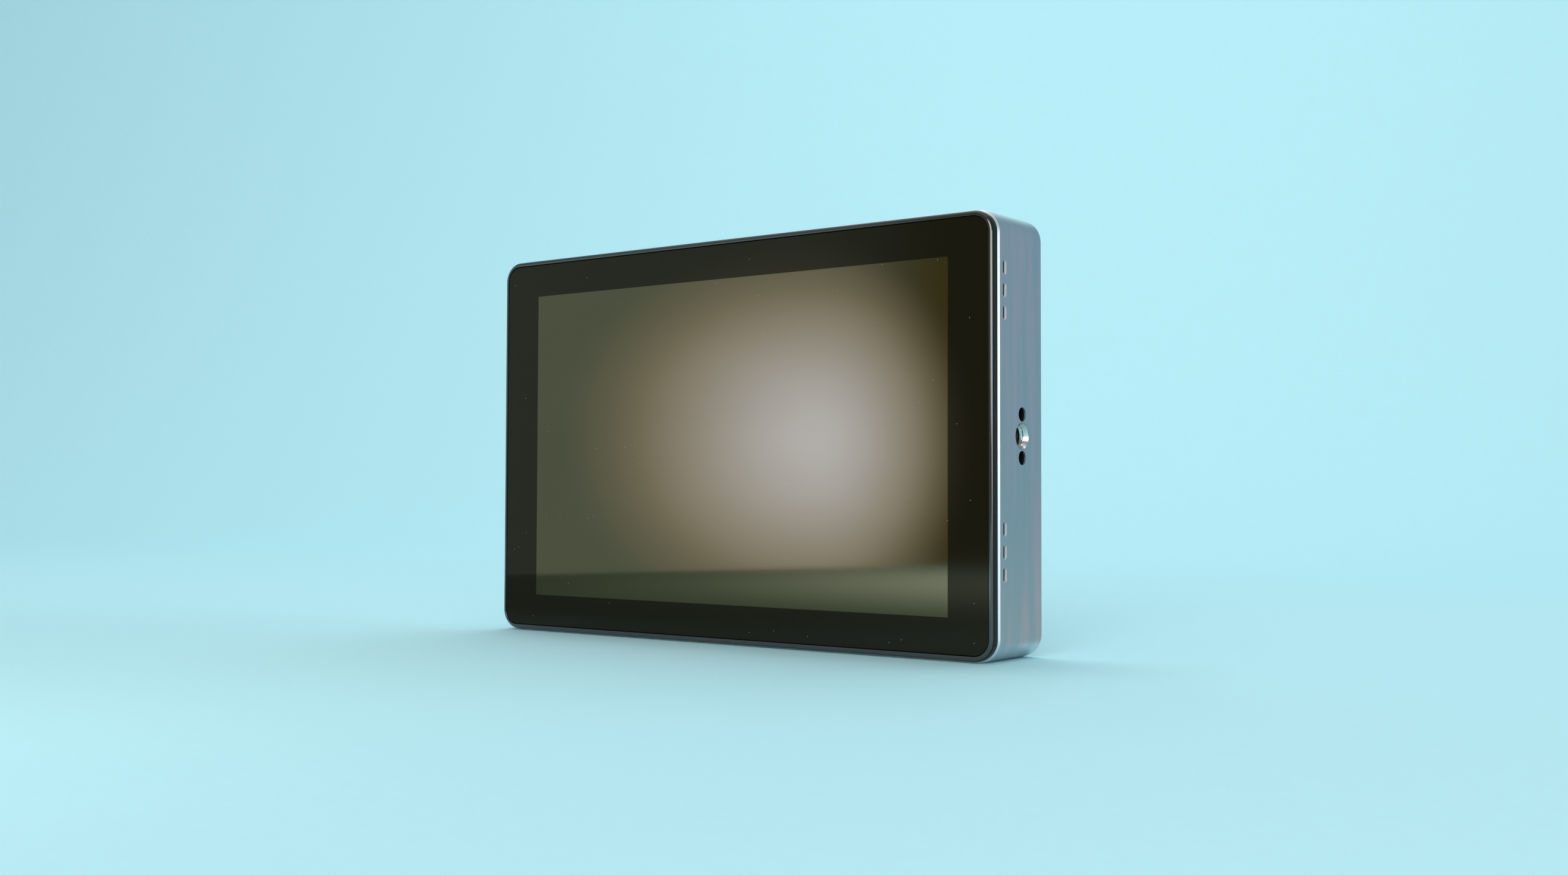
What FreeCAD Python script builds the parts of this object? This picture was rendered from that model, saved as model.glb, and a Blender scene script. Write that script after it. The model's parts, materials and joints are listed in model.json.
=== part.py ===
import FreeCAD
import Part
import Sketcher
import math
import os
import re

# A seven inch on-camera field monitor. +Z is up and the screen faces -Y. The origin lies on the
# bottom face, on the axis of the bottom tripod thread, and all four tripod threads meet at Y = 0.

# Driving sizes in millimetres. Each becomes one aliased cell of the sheet.
SIZES = {
    # Clearances and the reach of cuts past a face
    "overrun": 1.0,
    "seat_gap": 0.3,
    "slide_gap": 0.2,
    "thread_gap": 0.05,
    # Milled housing
    "side_border": 14.6,
    "end_border": 11.65,
    "housing_depth": 23.0,
    "mount_setback": 12.2,
    "corner_radius": 6.4,
    "wall": 3.0,
    "shoulder": 1.5,
    "cavity_radius": 1.6,
    "front_chamfer": 0.45,
    "rear_break": 0.3,
    # Side vents
    "vent_width": 1.9,
    "vent_length": 4.0,
    "vent_pitch": 5.9,
    "vent_setback": 3.0,
    "upper_vent_rise": 37.7,
    "lower_vent_drop": 30.1,
    # Tripod mounts: quarter inch thread between two locating pin holes
    "boss_depth": 9.0,
    "boss_width": 12.0,
    "boss_span": 22.0,
    "insert_radius": 3.6,
    "insert_length": 7.6,
    "insert_recess": 0.05,
    "insert_mouth_radius": 3.5,
    "insert_mouth_depth": 0.95,
    "thread_bore_radius": 2.55,
    "pin_spacing": 11.43,
    "pin_hole_radius": 1.9,
    "pin_hole_depth": 5.0,
    # Screw columns in the housing, and the screws
    "column_radius": 3.5,
    "column_inset": 6.4,
    "top_column_reach": 36.0,
    "bottom_column_reach": 16.0,
    "screw_radius": 1.25,
    "head_radius": 2.1,
    "head_height": 1.2,
    "head_sink": 0.15,
    "spreader_screw_length": 5.0,
    "cover_screw_length": 8.0,
    "board_screw_length": 4.4,
    "plate_screw_length": 6.4,
    # Front bezel and cover glass
    "bezel_height": 2.4,
    "rim_width": 1.3,
    "lip_proud": 0.2,
    "lip_radius": 1.05,
    "ledge_width": 3.2,
    "glass_gap": 0.1,
    "glass_thickness": 1.1,
    "glass_bevel": 0.2,
    # Display stack behind the glass
    "active_width": 150.8,
    "active_height": 94.2,
    "screen_shift": 0.6,
    "screen_drop": 0.2,
    "cell_border": 3.1,
    "bond_thickness": 0.3,
    "cell_thickness": 1.4,
    "gasket_width": 1.5,
    "films_thickness": 0.6,
    "guide_thickness": 2.0,
    "guide_border": 1.2,
    "reflector_thickness": 0.2,
    "tray_sheet": 0.6,
    "led_strip_height": 1.0,
    "led_length": 3.0,
    "led_height": 1.2,
    "led_pitch": 6.2,
    # Heat spreader
    "spreader_thickness": 1.5,
    "window_gap": 1.0,
    # Main board
    "standoff_height": 4.0,
    "standoff_radius": 2.6,
    "standoff_reach": 52.0,
    "upper_standoff_inset": 6.0,
    "lower_standoff_inset": 13.0,
    "board_thickness": 1.6,
    "board_margin": 11.0,
    "board_lift": 3.9,
    "board_drop": 12.0,
    "processor_side": 23.0,
    "processor_height": 1.8,
    "processor_reach": 24.0,
    "processor_drop": 29.5,
    "memory_width": 9.0,
    "memory_length": 11.0,
    "memory_height": 1.0,
    "memory_pitch": 14.0,
    "memory_reach": 44.0,
    "coil_side": 7.0,
    "coil_height": 3.6,
    "coil_pitch": 10.0,
    "coil_reach": 34.0,
    "coil_lift": 20.5,
    "link_width": 30.0,
    "link_height": 5.0,
    "link_reach": 30.0,
    "link_lift": 12.5,
    # Rear cover and its two connector bays
    "cover_rim": 1.6,
    "cover_break": 0.5,
    "cover_thickness": 2.0,
    "bay_inner": 24.0,
    "bay_width": 50.0,
    "bay_setback": 16.0,
    "bay_height": 34.0,
    "bay_depth": 15.2,
    "bay_wall": 1.6,
    "bay_radius": 2.5,
    "foot_gap": 0.3,
    "grille_width": 2.0,
    "grille_length": 26.0,
    "grille_pitch": 4.6,
    "grille_reach": 56.0,
    "grille_drop": 37.5,
    # Video sockets with bayonet barrels
    "bnc_pitch": 21.0,
    "bnc_block_width": 14.0,
    "bnc_block_height": 12.0,
    "bnc_block_back": 5.0,
    "bnc_radius": 4.8,
    "bnc_bore_radius": 4.05,
    "bnc_reach": 10.5,
    "bnc_bore_depth": 9.0,
    "bnc_bevel": 0.4,
    "lug_radius": 1.0,
    "lug_reach": 5.5,
    "lug_drop": 2.6,
    "nut_flats": 12.7,
    "nut_height": 2.0,
    "dielectric_radius": 2.4,
    "dielectric_step": 2.0,
    "contact_radius": 0.7,
    # Digital video sockets
    "hdmi_width": 15.0,
    "hdmi_height": 5.6,
    "hdmi_length": 11.6,
    "hdmi_proud": 0.5,
    "hdmi_sheet": 0.5,
    "hdmi_bevel": 1.7,
    "hdmi_cavity": 10.2,
    "hdmi_start": 10.5,
    "hdmi_pitch": 17.5,
    "tongue_width": 11.2,
    "tongue_height": 1.4,
    "tongue_length": 7.2,
    # Locking power inlet
    "inlet_start": 43.5,
    "inlet_radius": 4.6,
    "inlet_bore_radius": 3.7,
    "inlet_bore_depth": 6.0,
    "inlet_reach": 4.0,
    "inlet_block_width": 11.0,
    "inlet_block_height": 10.0,
    "inlet_pin_radius": 0.65,
    "inlet_pin_pitch": 3.0,
    "inlet_pin_length": 4.4,
    # Headphone jack and card socket in the left wall
    "jack_lift": 4.0,
    "jack_clear": 1.05,
    "jack_setout": 2.6,
    "jack_bore_radius": 1.8,
    "jack_bush_radius": 2.9,
    "jack_recess": 0.4,
    "jack_block_length": 14.0,
    "jack_block_width": 6.4,
    "jack_bore_depth": 15.0,
    "card_drop": 15.5,
    "card_width": 24.3,
    "card_height": 2.3,
    "card_wall": 0.35,
    "card_length": 26.0,
    "card_depth": 23.0,
    # Battery plate with its hooks
    "plate_lift": 6.4,
    "plate_drop": 11.5,
    "plate_width": 44.0,
    "plate_thickness": 3.0,
    "plate_radius": 2.0,
    "plate_round": 0.8,
    "rail_wall": 2.0,
    "rail_height": 4.2,
    "rail_lip": 1.6,
    "rail_lip_height": 1.4,
    "hook_length": 14.0,
    "lower_hook_rise": 10.0,
    "upper_hook_drop": 6.0,
    "wing_width": 12.0,
    "wing_height": 22.0,
    "plate_screw_reach": 13.0,
    "plate_screw_inset": 14.0,
    "plate_boss_radius": 3.0,
    "plate_boss_height": 3.0,
    # Battery contacts
    "block_width": 26.0,
    "block_height": 6.0,
    "block_rise": 1.5,
    "block_proud": 4.0,
    "blade_pitch": 16.0,
    "blade_thickness": 0.9,
    "blade_depth": 2.6,
    "blade_length": 8.0,
    "blade_root": 3.0,
    # Battery latch, its cage and spring
    "latch_height": 8.0,
    "tooth_reach": 11.0,
    "tooth_width": 4.0,
    "tooth_height": 2.2,
    "tooth_crest": 2.4,
    "latch_button_reach": 24.0,
    "latch_button_width": 7.5,
    "latch_button_proud": 2.4,
    "latch_button_round": 0.6,
    "latch_bar": 3.0,
    "latch_travel": 2.2,
    "spring_room": 1.8,
    "cage_wall": 1.0,
    "cage_floor": 1.2,
    "spring_radius": 2.2,
    "spring_wire_radius": 0.22,
    # Power button on the top edge, and its switch
    "button_setback": 30.0,
    "button_radius": 3.5,
    "button_sink": 0.1,
    "button_round": 0.4,
    "button_flange": 0.9,
    "button_flange_height": 0.8,
    "button_stem_radius": 1.3,
    "button_travel": 0.5,
    "switch_width": 6.2,
    "switch_height": 4.4,
    "switch_depth": 3.5,
    "plunger_radius": 0.9,
    "plunger_rise": 1.4,
    "plunger_root": 1.2,
}

# Places and sizes that follow from the driving ones.
PLACES = {
    # The body is wide enough for the screen and its border, and for the two bays. It is tall enough for
    # the screen and its border, and for the jack between a bay and the mount halfway up the left wall.
    "body_width": "max(active_width + side_border * 2; (bay_outer + bay_setback) * 2)",
    "body_height": "max(active_height + end_border * 2; (jack_top + jack_clear + boss_span / 2) * 2)",
    "half_width": "body_width / 2",
    "mid_height": "body_height / 2",
    "seat_y": "-mount_setback",
    "rear_y": "housing_depth - mount_setback",
    "lip_y": "seat_y - bezel_height",
    "glass_y": "lip_y + lip_proud",
    "bond_y": "glass_y + glass_thickness",
    "cell_y": "bond_y + bond_thickness",
    "films_y": "cell_y + cell_thickness",
    "guide_y": "films_y + films_thickness",
    "reflector_y": "guide_y + guide_thickness",
    "tray_floor_y": "reflector_y + reflector_thickness",
    "spreader_y": "tray_floor_y + tray_sheet",
    "shoulder_y": "spreader_y + spreader_thickness",
    "board_y": "shoulder_y + standoff_height",
    "board_back_y": "board_y + board_thickness",
    "board_width": "body_width - board_margin * 2",
    "board_low": "bay_top + board_lift",
    "board_top": "body_height - board_drop",
    "processor_rise": "board_top - processor_drop",
    "coil_rise": "board_low + coil_lift",
    "link_rise": "board_low + link_lift",
    "jack_rise": "board_low + jack_lift",
    "jack_top": "jack_rise + jack_block_width / 2",
    "card_rise": "board_top - card_drop",
    "cover_y": "rear_y - cover_thickness",
    "thick_wall": "wall + shoulder",
    "glass_inset": "front_chamfer + rim_width + glass_gap",
    "screen_z": "mid_height - screen_drop",
    "gasket_border": "cell_border + seat_gap",
    "tray_border": "gasket_border + gasket_width",
    "tray_cavity": "tray_border - tray_sheet",
    "screw_hole": "screw_radius + thread_gap",
    "head_hole": "head_radius + thread_gap * 4",
    "bay_outer": "bay_inner + bay_width",
    "bay_top": "bay_height + bay_wall",
    "bay_floor_y": "rear_y - bay_depth",
    "grille_rise": "body_height - grille_drop",
    "socket_y": "rear_y - bay_depth / 2",
    "bay_middle": "bay_inner + bay_width / 2",
    "bnc_mouth": "bay_height - bnc_reach",
    "bnc_root": "bnc_mouth + bnc_bore_depth",
    "hdmi_mouth": "bay_height - hdmi_proud",
    "hdmi_root": "hdmi_mouth + hdmi_cavity",
    "inlet_mouth": "bay_height - inlet_reach",
    "inlet_root": "inlet_mouth + inlet_bore_depth",
    "jack_y": "board_back_y + jack_setout",
    "jack_mouth": "-half_width + jack_recess",
    "jack_root": "-half_width + thick_wall + seat_gap",
    "card_shell": "card_height + card_wall * 2",
    "card_y": "board_back_y + card_shell / 2",
    "card_mouth": "-half_width + thick_wall + seat_gap",
    "plate_low": "bay_top + plate_lift",
    "plate_top": "body_height - plate_drop",
    "plate_height": "plate_top - plate_low",
    "upper_hook_rise": "plate_height - upper_hook_drop - hook_length",
    "plate_half": "plate_width / 2",
    "plate_y": "rear_y + plate_thickness",
    "rail_y": "plate_y + rail_height",
    "block_low": "plate_low + block_rise",
    "block_top": "block_low + block_height",
    "latch_z": "plate_low + plate_height / 2",
    "latch_low": "latch_z - latch_height / 2",
    "latch_high": "latch_z + latch_height / 2",
    "latch_top_y": "rear_y - slide_gap / 2",
    "latch_back_y": "latch_top_y - latch_bar",
    "tooth_y": "plate_y + tooth_height",
    "latch_end": "latch_button_reach + latch_button_width",
    "cage_y": "latch_back_y - latch_travel - spring_room",
    "cage_left": "tooth_reach - seat_gap",
    "cage_right": "latch_end + seat_gap",
    "button_reach": "half_width - button_setback",
    "button_y": "board_back_y + switch_depth / 2",
    "button_top": "body_height - button_sink",
    "flange_top": "body_height - thick_wall - slide_gap / 2",
    "flange_low": "flange_top - button_flange_height",
    "switch_top": "board_top",
    "switch_low": "board_top - switch_height",
    "plunger_top": "switch_top + plunger_rise",
}

VENTS_IN_GROUP = 3
GRILLE_SLOTS = 6
LEDS = 23
MEMORY_CHIPS = 3
COILS = 3
SPRING_TURNS = 4
SIDES = (-1, 1)
HEX_TURNS = [math.radians(turn) for turn in range(0, 360, 60)]
HEX_SHARES = [(math.cos(turn), math.sin(turn)) for turn in HEX_TURNS]

# Way that each origin plane's normal points along its axis.
NORMALS = {"XY_Plane": 1, "XZ_Plane": -1, "YZ_Plane": 1}
UP = FreeCAD.Vector(0, 0, 1)
TINY = 1e-6

# Each mount's wall: the plane that it is drawn on, its level and the level of the boss behind it.
MOUNT_WALLS = {
    "right": ("YZ_Plane", "half_width", "half_width - "),
    "left": ("YZ_Plane", "-half_width", "-half_width + "),
    "top": ("XY_Plane", "body_height", "body_height - "),
    "bottom": ("XY_Plane", "0", "0 + "),
}

doc = FreeCAD.newDocument("field_monitor")
sheet = doc.addObject("Spreadsheet::Sheet", "Sizes")
pieces = []


def fill_sheet():
    for row, (name, size) in enumerate(SIZES.items(), start=1):
        sheet.set(f"A{row}", name)
        sheet.set(f"B{row}", str(size))
        sheet.setAlias(f"B{row}", name)
    doc.recompute()


def expand(text):
    """Turns the names of sizes and places into an expression on the sheet."""
    def swap(match):
        word = match.group()
        if word in PLACES:
            return "(" + expand(PLACES[word]) + ")"
        if word in SIZES:
            return "Sizes." + word
        return word
    return re.sub(r"[a-z_]+", swap, text)


def number(text):
    return float(sheet.evalExpression(expand(text)))


def bind(thing, slot, text):
    thing.setExpression(slot, expand(text))


def point(x, y):
    return FreeCAD.Vector(number(x), number(y), 0)


def hold_size(sketch, kind, shape, text):
    row = sketch.addConstraint(Sketcher.Constraint(kind, shape, number(text)))
    bind(sketch, f"Constraints[{row}]", text)


def hold_point(sketch, shape, end, x, y):
    """Ties one point of a sketch to its place from the sketch's origin."""
    for kind, axis, text in (("DistanceX", -2, x), ("DistanceY", -1, y)):
        if text == "0":
            sketch.addConstraint(Sketcher.Constraint("PointOnObject", shape, end, axis))
        else:
            row = sketch.addConstraint(Sketcher.Constraint(kind, -1, 1, shape, end, number(text)))
            bind(sketch, f"Constraints[{row}]", text)


def circle(sketch, x, y, radius):
    shape = sketch.addGeometry(Part.Circle(point(x, y), UP, number(radius)), False)
    hold_point(sketch, shape, 3, x, y)
    hold_size(sketch, "Radius", shape, radius)


def polygon(sketch, corners):
    first = sketch.GeometryCount
    for start, end in zip(corners, corners[1:] + corners[:1]):
        sketch.addGeometry(Part.LineSegment(point(*start), point(*end)), False)
    for place, corner in enumerate(corners):
        before = first + (place - 1) % len(corners)
        sketch.addConstraint(Sketcher.Constraint("Coincident", before, 2, first + place, 1))
        hold_point(sketch, first + place, 1, *corner)


def box(sketch, left, right, low, high):
    polygon(sketch, [(left, low), (right, low), (right, high), (left, high)])


def rounded(sketch, centres, radius):
    """A closed outline of equal arcs round two or four centres, joined by tangent lines."""
    first = sketch.GeometryCount
    share = 2 * math.pi / len(centres)
    for place, centre in enumerate(centres):
        full = Part.Circle(point(*centre), UP, number(radius))
        arc = sketch.addGeometry(Part.ArcOfCircle(full, place * share, (place + 1) * share), False)
        hold_point(sketch, arc, 3, *centre)
        hold_size(sketch, "Radius", arc, radius)
    for place in range(len(centres)):
        arc = first + place
        following = first + (place + 1) % len(centres)
        side = Part.LineSegment(sketch.getPoint(arc, 2), sketch.getPoint(following, 1))
        line = sketch.addGeometry(side, False)
        sketch.addConstraint(Sketcher.Constraint("Tangent", arc, 2, line, 1))
        sketch.addConstraint(Sketcher.Constraint("Tangent", line, 2, following, 1))


def round_box(sketch, left, right, low, high, radius):
    sides = (f"{left} + {radius}", f"{right} - ({radius})")
    ends = (f"{low} + {radius}", f"{high} - ({radius})")
    centres = [(sides[1], ends[1]), (sides[0], ends[1]), (sides[0], ends[0]), (sides[1], ends[0])]
    rounded(sketch, centres, radius)


def slot(sketch, x, y, width, length):
    """An upright slot with round ends."""
    reach = f"({length} - {width}) / 2"
    rounded(sketch, [(x, f"{y} + {reach}"), (x, f"{y} - {reach}")], f"{width} / 2")


def hexagon(sketch, x, y, radius):
    corners = [(f"{x} + {across} * {radius}", f"{y} + {along} * {radius}") for across, along in HEX_SHARES]
    polygon(sketch, corners)


def body_outline(sketch, inset, radius):
    round_box(sketch, f"-half_width + {inset}", f"half_width - ({inset})", f"0 + {inset}",
              f"body_height - ({inset})", radius)


def screen_box(sketch, border):
    reach = f"(active_width / 2 + {border})"
    rise = f"(active_height / 2 + {border})"
    box(sketch, f"screen_shift - {reach}", f"screen_shift + {reach}",
        f"screen_z - {rise}", f"screen_z + {rise}")


def new_body(name):
    body = doc.addObject("PartDesign::Body", name)
    body.Label = name
    pieces.append(body)
    return body


def sketch_on(body, plane, level, shift=("0", "0")):
    """An empty sketch on one of the body's origin planes, moved to a level along that plane's axis."""
    support = next(item for item in body.Origin.OriginFeatures if item.Role == plane)
    sketch = body.newObject("Sketcher::SketchObject", body.Label + "_sketch")
    sketch.AttachmentSupport = [(support, "")]
    sketch.MapMode = "FlatFace"
    bind(sketch, "AttachmentOffset.Base.x", shift[0])
    bind(sketch, "AttachmentOffset.Base.y", shift[1])
    bind(sketch, "AttachmentOffset.Base.z", f"{NORMALS[plane]} * ({level})")
    return sketch


def extrude(body, kind, plane, start, end, draw):
    sketch = sketch_on(body, plane, start)
    draw(sketch)
    feature = body.newObject("PartDesign::" + kind, body.Label + "_" + kind.lower())
    feature.Profile = sketch
    bind(feature, "Length", f"abs(({end}) - ({start}))")
    way = 1 if number(end) > number(start) else -1
    natural = NORMALS[plane] if kind == "Pad" else -NORMALS[plane]
    feature.Reversed = natural != way


def pad(body, plane, start, end, draw):
    extrude(body, "Pad", plane, start, end, draw)


def cut(body, plane, start, end, draw):
    doc.recompute()
    before = body.Shape.Volume
    extrude(body, "Pocket", plane, start, end, draw)
    doc.recompute()
    if body.Shape.Volume >= before:
        raise RuntimeError(f"a cut in {body.Label} removes nothing")


def turn(body, kind, axis, centre, outline):
    """Turns an outline of (along, radius) points about the H or V axis through a centre."""
    sketch = sketch_on(body, "XZ_Plane", centre[1], (centre[0], centre[2]))
    if axis == "V_Axis":
        outline = [(radius, along) for along, radius in outline]
    polygon(sketch, outline)
    feature = body.newObject("PartDesign::" + kind, body.Label + "_" + kind.lower())
    feature.Profile = sketch
    feature.ReferenceAxis = (sketch, [axis])
    feature.Angle = 360


def soften(body, kind, slot_name, size, wanted):
    """Rounds or chamfers the edges of a body that a test picks."""
    doc.recompute()
    base = body.Tip
    names = [f"Edge{place}" for place, edge in enumerate(base.Shape.Edges, start=1) if wanted(edge)]
    feature = body.newObject("PartDesign::" + kind, body.Label + "_" + kind.lower())
    feature.Base = (base, names)
    bind(feature, slot_name, size)


def outer_rim(body, level):
    """A test that picks the outer edges of a body's flat face at a level of Y."""
    doc.recompute()
    height = number(level)
    flats = [face for face in body.Tip.Shape.Faces if face.BoundBox.YLength < TINY]
    level_flats = [face for face in flats if abs(face.BoundBox.YMin - height) < TINY]
    largest = max(level_flats, key=lambda face: face.BoundBox.DiagonalLength)
    return lambda edge: any(edge.isSame(other) for other in largest.OuterWire.Edges)


def columns():
    """The middles of the housing's screw columns: four corners, two above and two below."""
    corner_x = "half_width - column_inset"
    high = "body_height - column_inset"
    reaches = ((corner_x, high), (corner_x, "column_inset"), ("top_column_reach", high))
    reaches += (("bottom_column_reach", "column_inset"),)
    return [(f"{side} * ({x})", z) for x, z in reaches for side in SIDES]


def corner_columns():
    return columns()[:4]


def board_posts():
    ends = ("board_low + lower_standoff_inset", "board_top - upper_standoff_inset")
    return [(f"{side} * standoff_reach", z) for z in ends for side in SIDES]


def plate_screw_places():
    ends = ("plate_low + plate_screw_inset", "plate_top - plate_screw_inset")
    return [(f"{side} * plate_screw_reach", z) for z in ends for side in SIDES]


def circles(places, radius):
    def draw(sketch):
        for x, y in places:
            circle(sketch, x, y, radius)
    return draw


def bar(left, right, low, high):
    return lambda sketch: box(sketch, left, right, low, high)


def mount_boss(sketch, plane):
    if plane == "YZ_Plane":
        box(sketch, "-boss_width / 2", "boss_width / 2",
            "mid_height - boss_span / 2", "mid_height + boss_span / 2")
    else:
        box(sketch, "-boss_span / 2", "boss_span / 2", "-boss_width / 2", "boss_width / 2")


def pin_places(plane):
    reaches = [f"{side} * pin_spacing / 2" for side in SIDES]
    if plane == "YZ_Plane":
        return [("0", f"mid_height + {reach}") for reach in reaches]
    return [(reach, "0") for reach in reaches]


def side_vents(sketch):
    for middle in ("mid_height + upper_vent_rise", "mid_height - lower_vent_drop"):
        for place in range(VENTS_IN_GROUP):
            steps = place - (VENTS_IN_GROUP - 1) / 2
            slot(sketch, "seat_y + vent_setback", f"{middle} + {steps} * vent_pitch",
                 "vent_width", "vent_length")


def bay_notches(sketch):
    for side in SIDES:
        ends = [f"{side} * (bay_inner - bay_wall - seat_gap)", f"{side} * (bay_outer + bay_wall + seat_gap)"]
        box(sketch, ends[side < 0], ends[side > 0], "-overrun", "thick_wall + overrun")


def cut_mount(body, plane, level, inward):
    middle = ("0", "mid_height") if plane == "YZ_Plane" else ("0", "0")
    cut(body, plane, level, inward + "(insert_recess + insert_length)", circles([middle], "insert_radius"))
    cut(body, plane, level, inward + "pin_hole_depth", circles(pin_places(plane), "pin_hole_radius"))


def make_housing():
    body = new_body("housing")
    pad(body, "XZ_Plane", "seat_y", "rear_y", lambda sketch: body_outline(sketch, "0", "corner_radius"))
    soften(body, "Chamfer", "Size", "front_chamfer", outer_rim(body, "seat_y"))
    soften(body, "Chamfer", "Size", "rear_break", outer_rim(body, "rear_y"))
    cut(body, "XZ_Plane", "seat_y", "shoulder_y",
        lambda sketch: body_outline(sketch, "wall", "cavity_radius"))
    cut(body, "XZ_Plane", "shoulder_y", "rear_y",
        lambda sketch: body_outline(sketch, "thick_wall", "cavity_radius"))
    for plane, level, inward in MOUNT_WALLS.values():
        pad(body, plane, level, inward + "boss_depth", lambda sketch: mount_boss(sketch, plane))
    pad(body, "XZ_Plane", "shoulder_y", "cover_y", circles(columns(), "column_radius"))
    cut(body, "XZ_Plane", "cover_y", "rear_y",
        lambda sketch: body_outline(sketch, "cover_rim", "corner_radius - cover_rim"))
    cut(body, "XZ_Plane", "shoulder_y", "cover_y", circles(columns(), "screw_hole"))
    cut(body, "XZ_Plane", "bay_floor_y - bay_wall - seat_gap", "rear_y + overrun", bay_notches)
    for plane, level, inward in MOUNT_WALLS.values():
        cut_mount(body, plane, level, inward)
    cut(body, "YZ_Plane", "half_width + overrun", "-half_width - overrun", side_vents)
    cut(body, "YZ_Plane", "-half_width - overrun", "-half_width + thick_wall + overrun", left_wall_openings)
    cut(body, "XY_Plane", "body_height", "body_height - thick_wall - overrun",
        circles([("button_reach", "button_y")], "button_radius + slide_gap"))


def left_wall_openings(sketch):
    circle(sketch, "jack_y", "jack_rise", "jack_bush_radius + seat_gap")
    reach = "(card_shell / 2)"
    rise = "(card_width / 2 + seat_gap)"
    box(sketch, f"card_y - {reach}", f"card_y + {reach}", f"card_rise - {rise}", f"card_rise + {rise}")


def make_inserts():
    """Steel bushes with the tripod thread, one in each boss."""
    turns = {
        "right": ("H_Axis", ("0", "0", "mid_height"), "half_width", "-1"),
        "left": ("H_Axis", ("0", "0", "mid_height"), "-half_width", "1"),
        "top": ("V_Axis", ("0", "0", "0"), "body_height", "-1"),
        "bottom": ("V_Axis", ("0", "0", "0"), "0", "1"),
    }
    for name, (axis, centre, face, way) in turns.items():
        body = new_body(name + "_thread_insert")
        mouth = f"{face} + {way} * insert_recess"
        root = f"{mouth} + {way} * insert_length"
        turn(body, "Revolution", axis, centre, [
            (mouth, "insert_mouth_radius"),
            (mouth, "insert_radius - thread_gap"),
            (root, "insert_radius - thread_gap"),
            (root, "thread_bore_radius"),
            (f"{mouth} + {way} * insert_mouth_depth", "thread_bore_radius"),
        ])


def make_bezel():
    body = new_body("front_bezel")
    pad(body, "XZ_Plane", "lip_y", "seat_y",
        lambda sketch: body_outline(sketch, "front_chamfer", "corner_radius - front_chamfer"))
    rim = "(front_chamfer + rim_width)"
    cut(body, "XZ_Plane", "lip_y", "bond_y",
        lambda sketch: body_outline(sketch, rim, f"corner_radius - {rim}"))
    cut(body, "XZ_Plane", "bond_y", "seat_y",
        lambda sketch: body_outline(sketch, "glass_inset + ledge_width", "cavity_radius"))
    soften(body, "Fillet", "Radius", "lip_radius", outer_rim(body, "lip_y"))


def make_glass():
    body = new_body("cover_glass")
    pad(body, "XZ_Plane", "glass_y", "bond_y",
        lambda sketch: body_outline(sketch, "glass_inset", "corner_radius - glass_inset"))
    soften(body, "Chamfer", "Size", "glass_bevel", outer_rim(body, "glass_y"))


def make_display_stack():
    """The bonded panel, and the backlight in its pressed tray."""
    layers = {
        "bonding_layer": ("bond_y", "cell_y", "cell_border"),
        "lcd_cell": ("cell_y", "films_y", "cell_border"),
        "diffuser_films": ("films_y", "guide_y", "tray_cavity - seat_gap"),
        "reflector_sheet": ("reflector_y", "tray_floor_y", "tray_cavity - seat_gap"),
    }
    for name, (front, back, border) in layers.items():
        pad(new_body(name), "XZ_Plane", front, back, lambda sketch: screen_box(sketch, border))
    gasket = new_body("panel_gasket")
    pad(gasket, "XZ_Plane", "bond_y", "films_y", lambda sketch: screen_box(sketch, "tray_border"))
    cut(gasket, "XZ_Plane", "bond_y", "films_y", lambda sketch: screen_box(sketch, "gasket_border"))
    tray = new_body("backlight_tray")
    pad(tray, "XZ_Plane", "films_y", "spreader_y", lambda sketch: screen_box(sketch, "tray_border"))
    cut(tray, "XZ_Plane", "films_y", "tray_floor_y", lambda sketch: screen_box(sketch, "tray_cavity"))
    make_light_source()


def make_light_source():
    half = "active_width / 2 + guide_border"
    floor = "(screen_z - active_height / 2 - tray_cavity)"
    strip_top = f"{floor} + led_strip_height"
    led_top = f"{strip_top} + led_height"
    strip = new_body("led_strip")
    pad(strip, "XZ_Plane", "guide_y", "reflector_y",
        bar(f"screen_shift - ({half})", f"screen_shift + {half}", floor, strip_top))
    leds = new_body("leds")

    def draw_leds(sketch):
        for place in range(LEDS):
            middle = f"screen_shift + {place - (LEDS - 1) / 2} * led_pitch"
            box(sketch, f"{middle} - led_length / 2", f"{middle} + led_length / 2", strip_top, led_top)
    pad(leds, "XZ_Plane", "guide_y", "reflector_y", draw_leds)
    guide = new_body("light_guide")
    pad(guide, "XZ_Plane", "guide_y", "reflector_y",
        bar(f"screen_shift - ({half})", f"screen_shift + {half}", led_top,
            "screen_z + active_height / 2 + tray_cavity - seat_gap"))


def link_box(sketch, gap):
    across = f"(link_width / 2 + {gap})"
    rise = f"(link_height / 2 + {gap})"
    box(sketch, f"-link_reach - {across}", f"-link_reach + {across}",
        f"link_rise - {rise}", f"link_rise + {rise}")


def make_spreader():
    body = new_body("heat_spreader")
    pad(body, "XZ_Plane", "spreader_y", "shoulder_y",
        lambda sketch: body_outline(sketch, "wall + seat_gap", "cavity_radius"))
    cut(body, "XZ_Plane", "spreader_y", "shoulder_y", lambda sketch: link_box(sketch, "window_gap"))
    cut(body, "XZ_Plane", "spreader_y", "shoulder_y", circles(corner_columns(), "screw_hole"))
    screws = new_body("spreader_screws")
    pad(screws, "XZ_Plane", "spreader_y - head_height", "spreader_y",
        circles(corner_columns(), "head_radius"))
    pad(screws, "XZ_Plane", "spreader_y", "spreader_y + spreader_screw_length",
        circles(corner_columns(), "screw_radius"))


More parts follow.
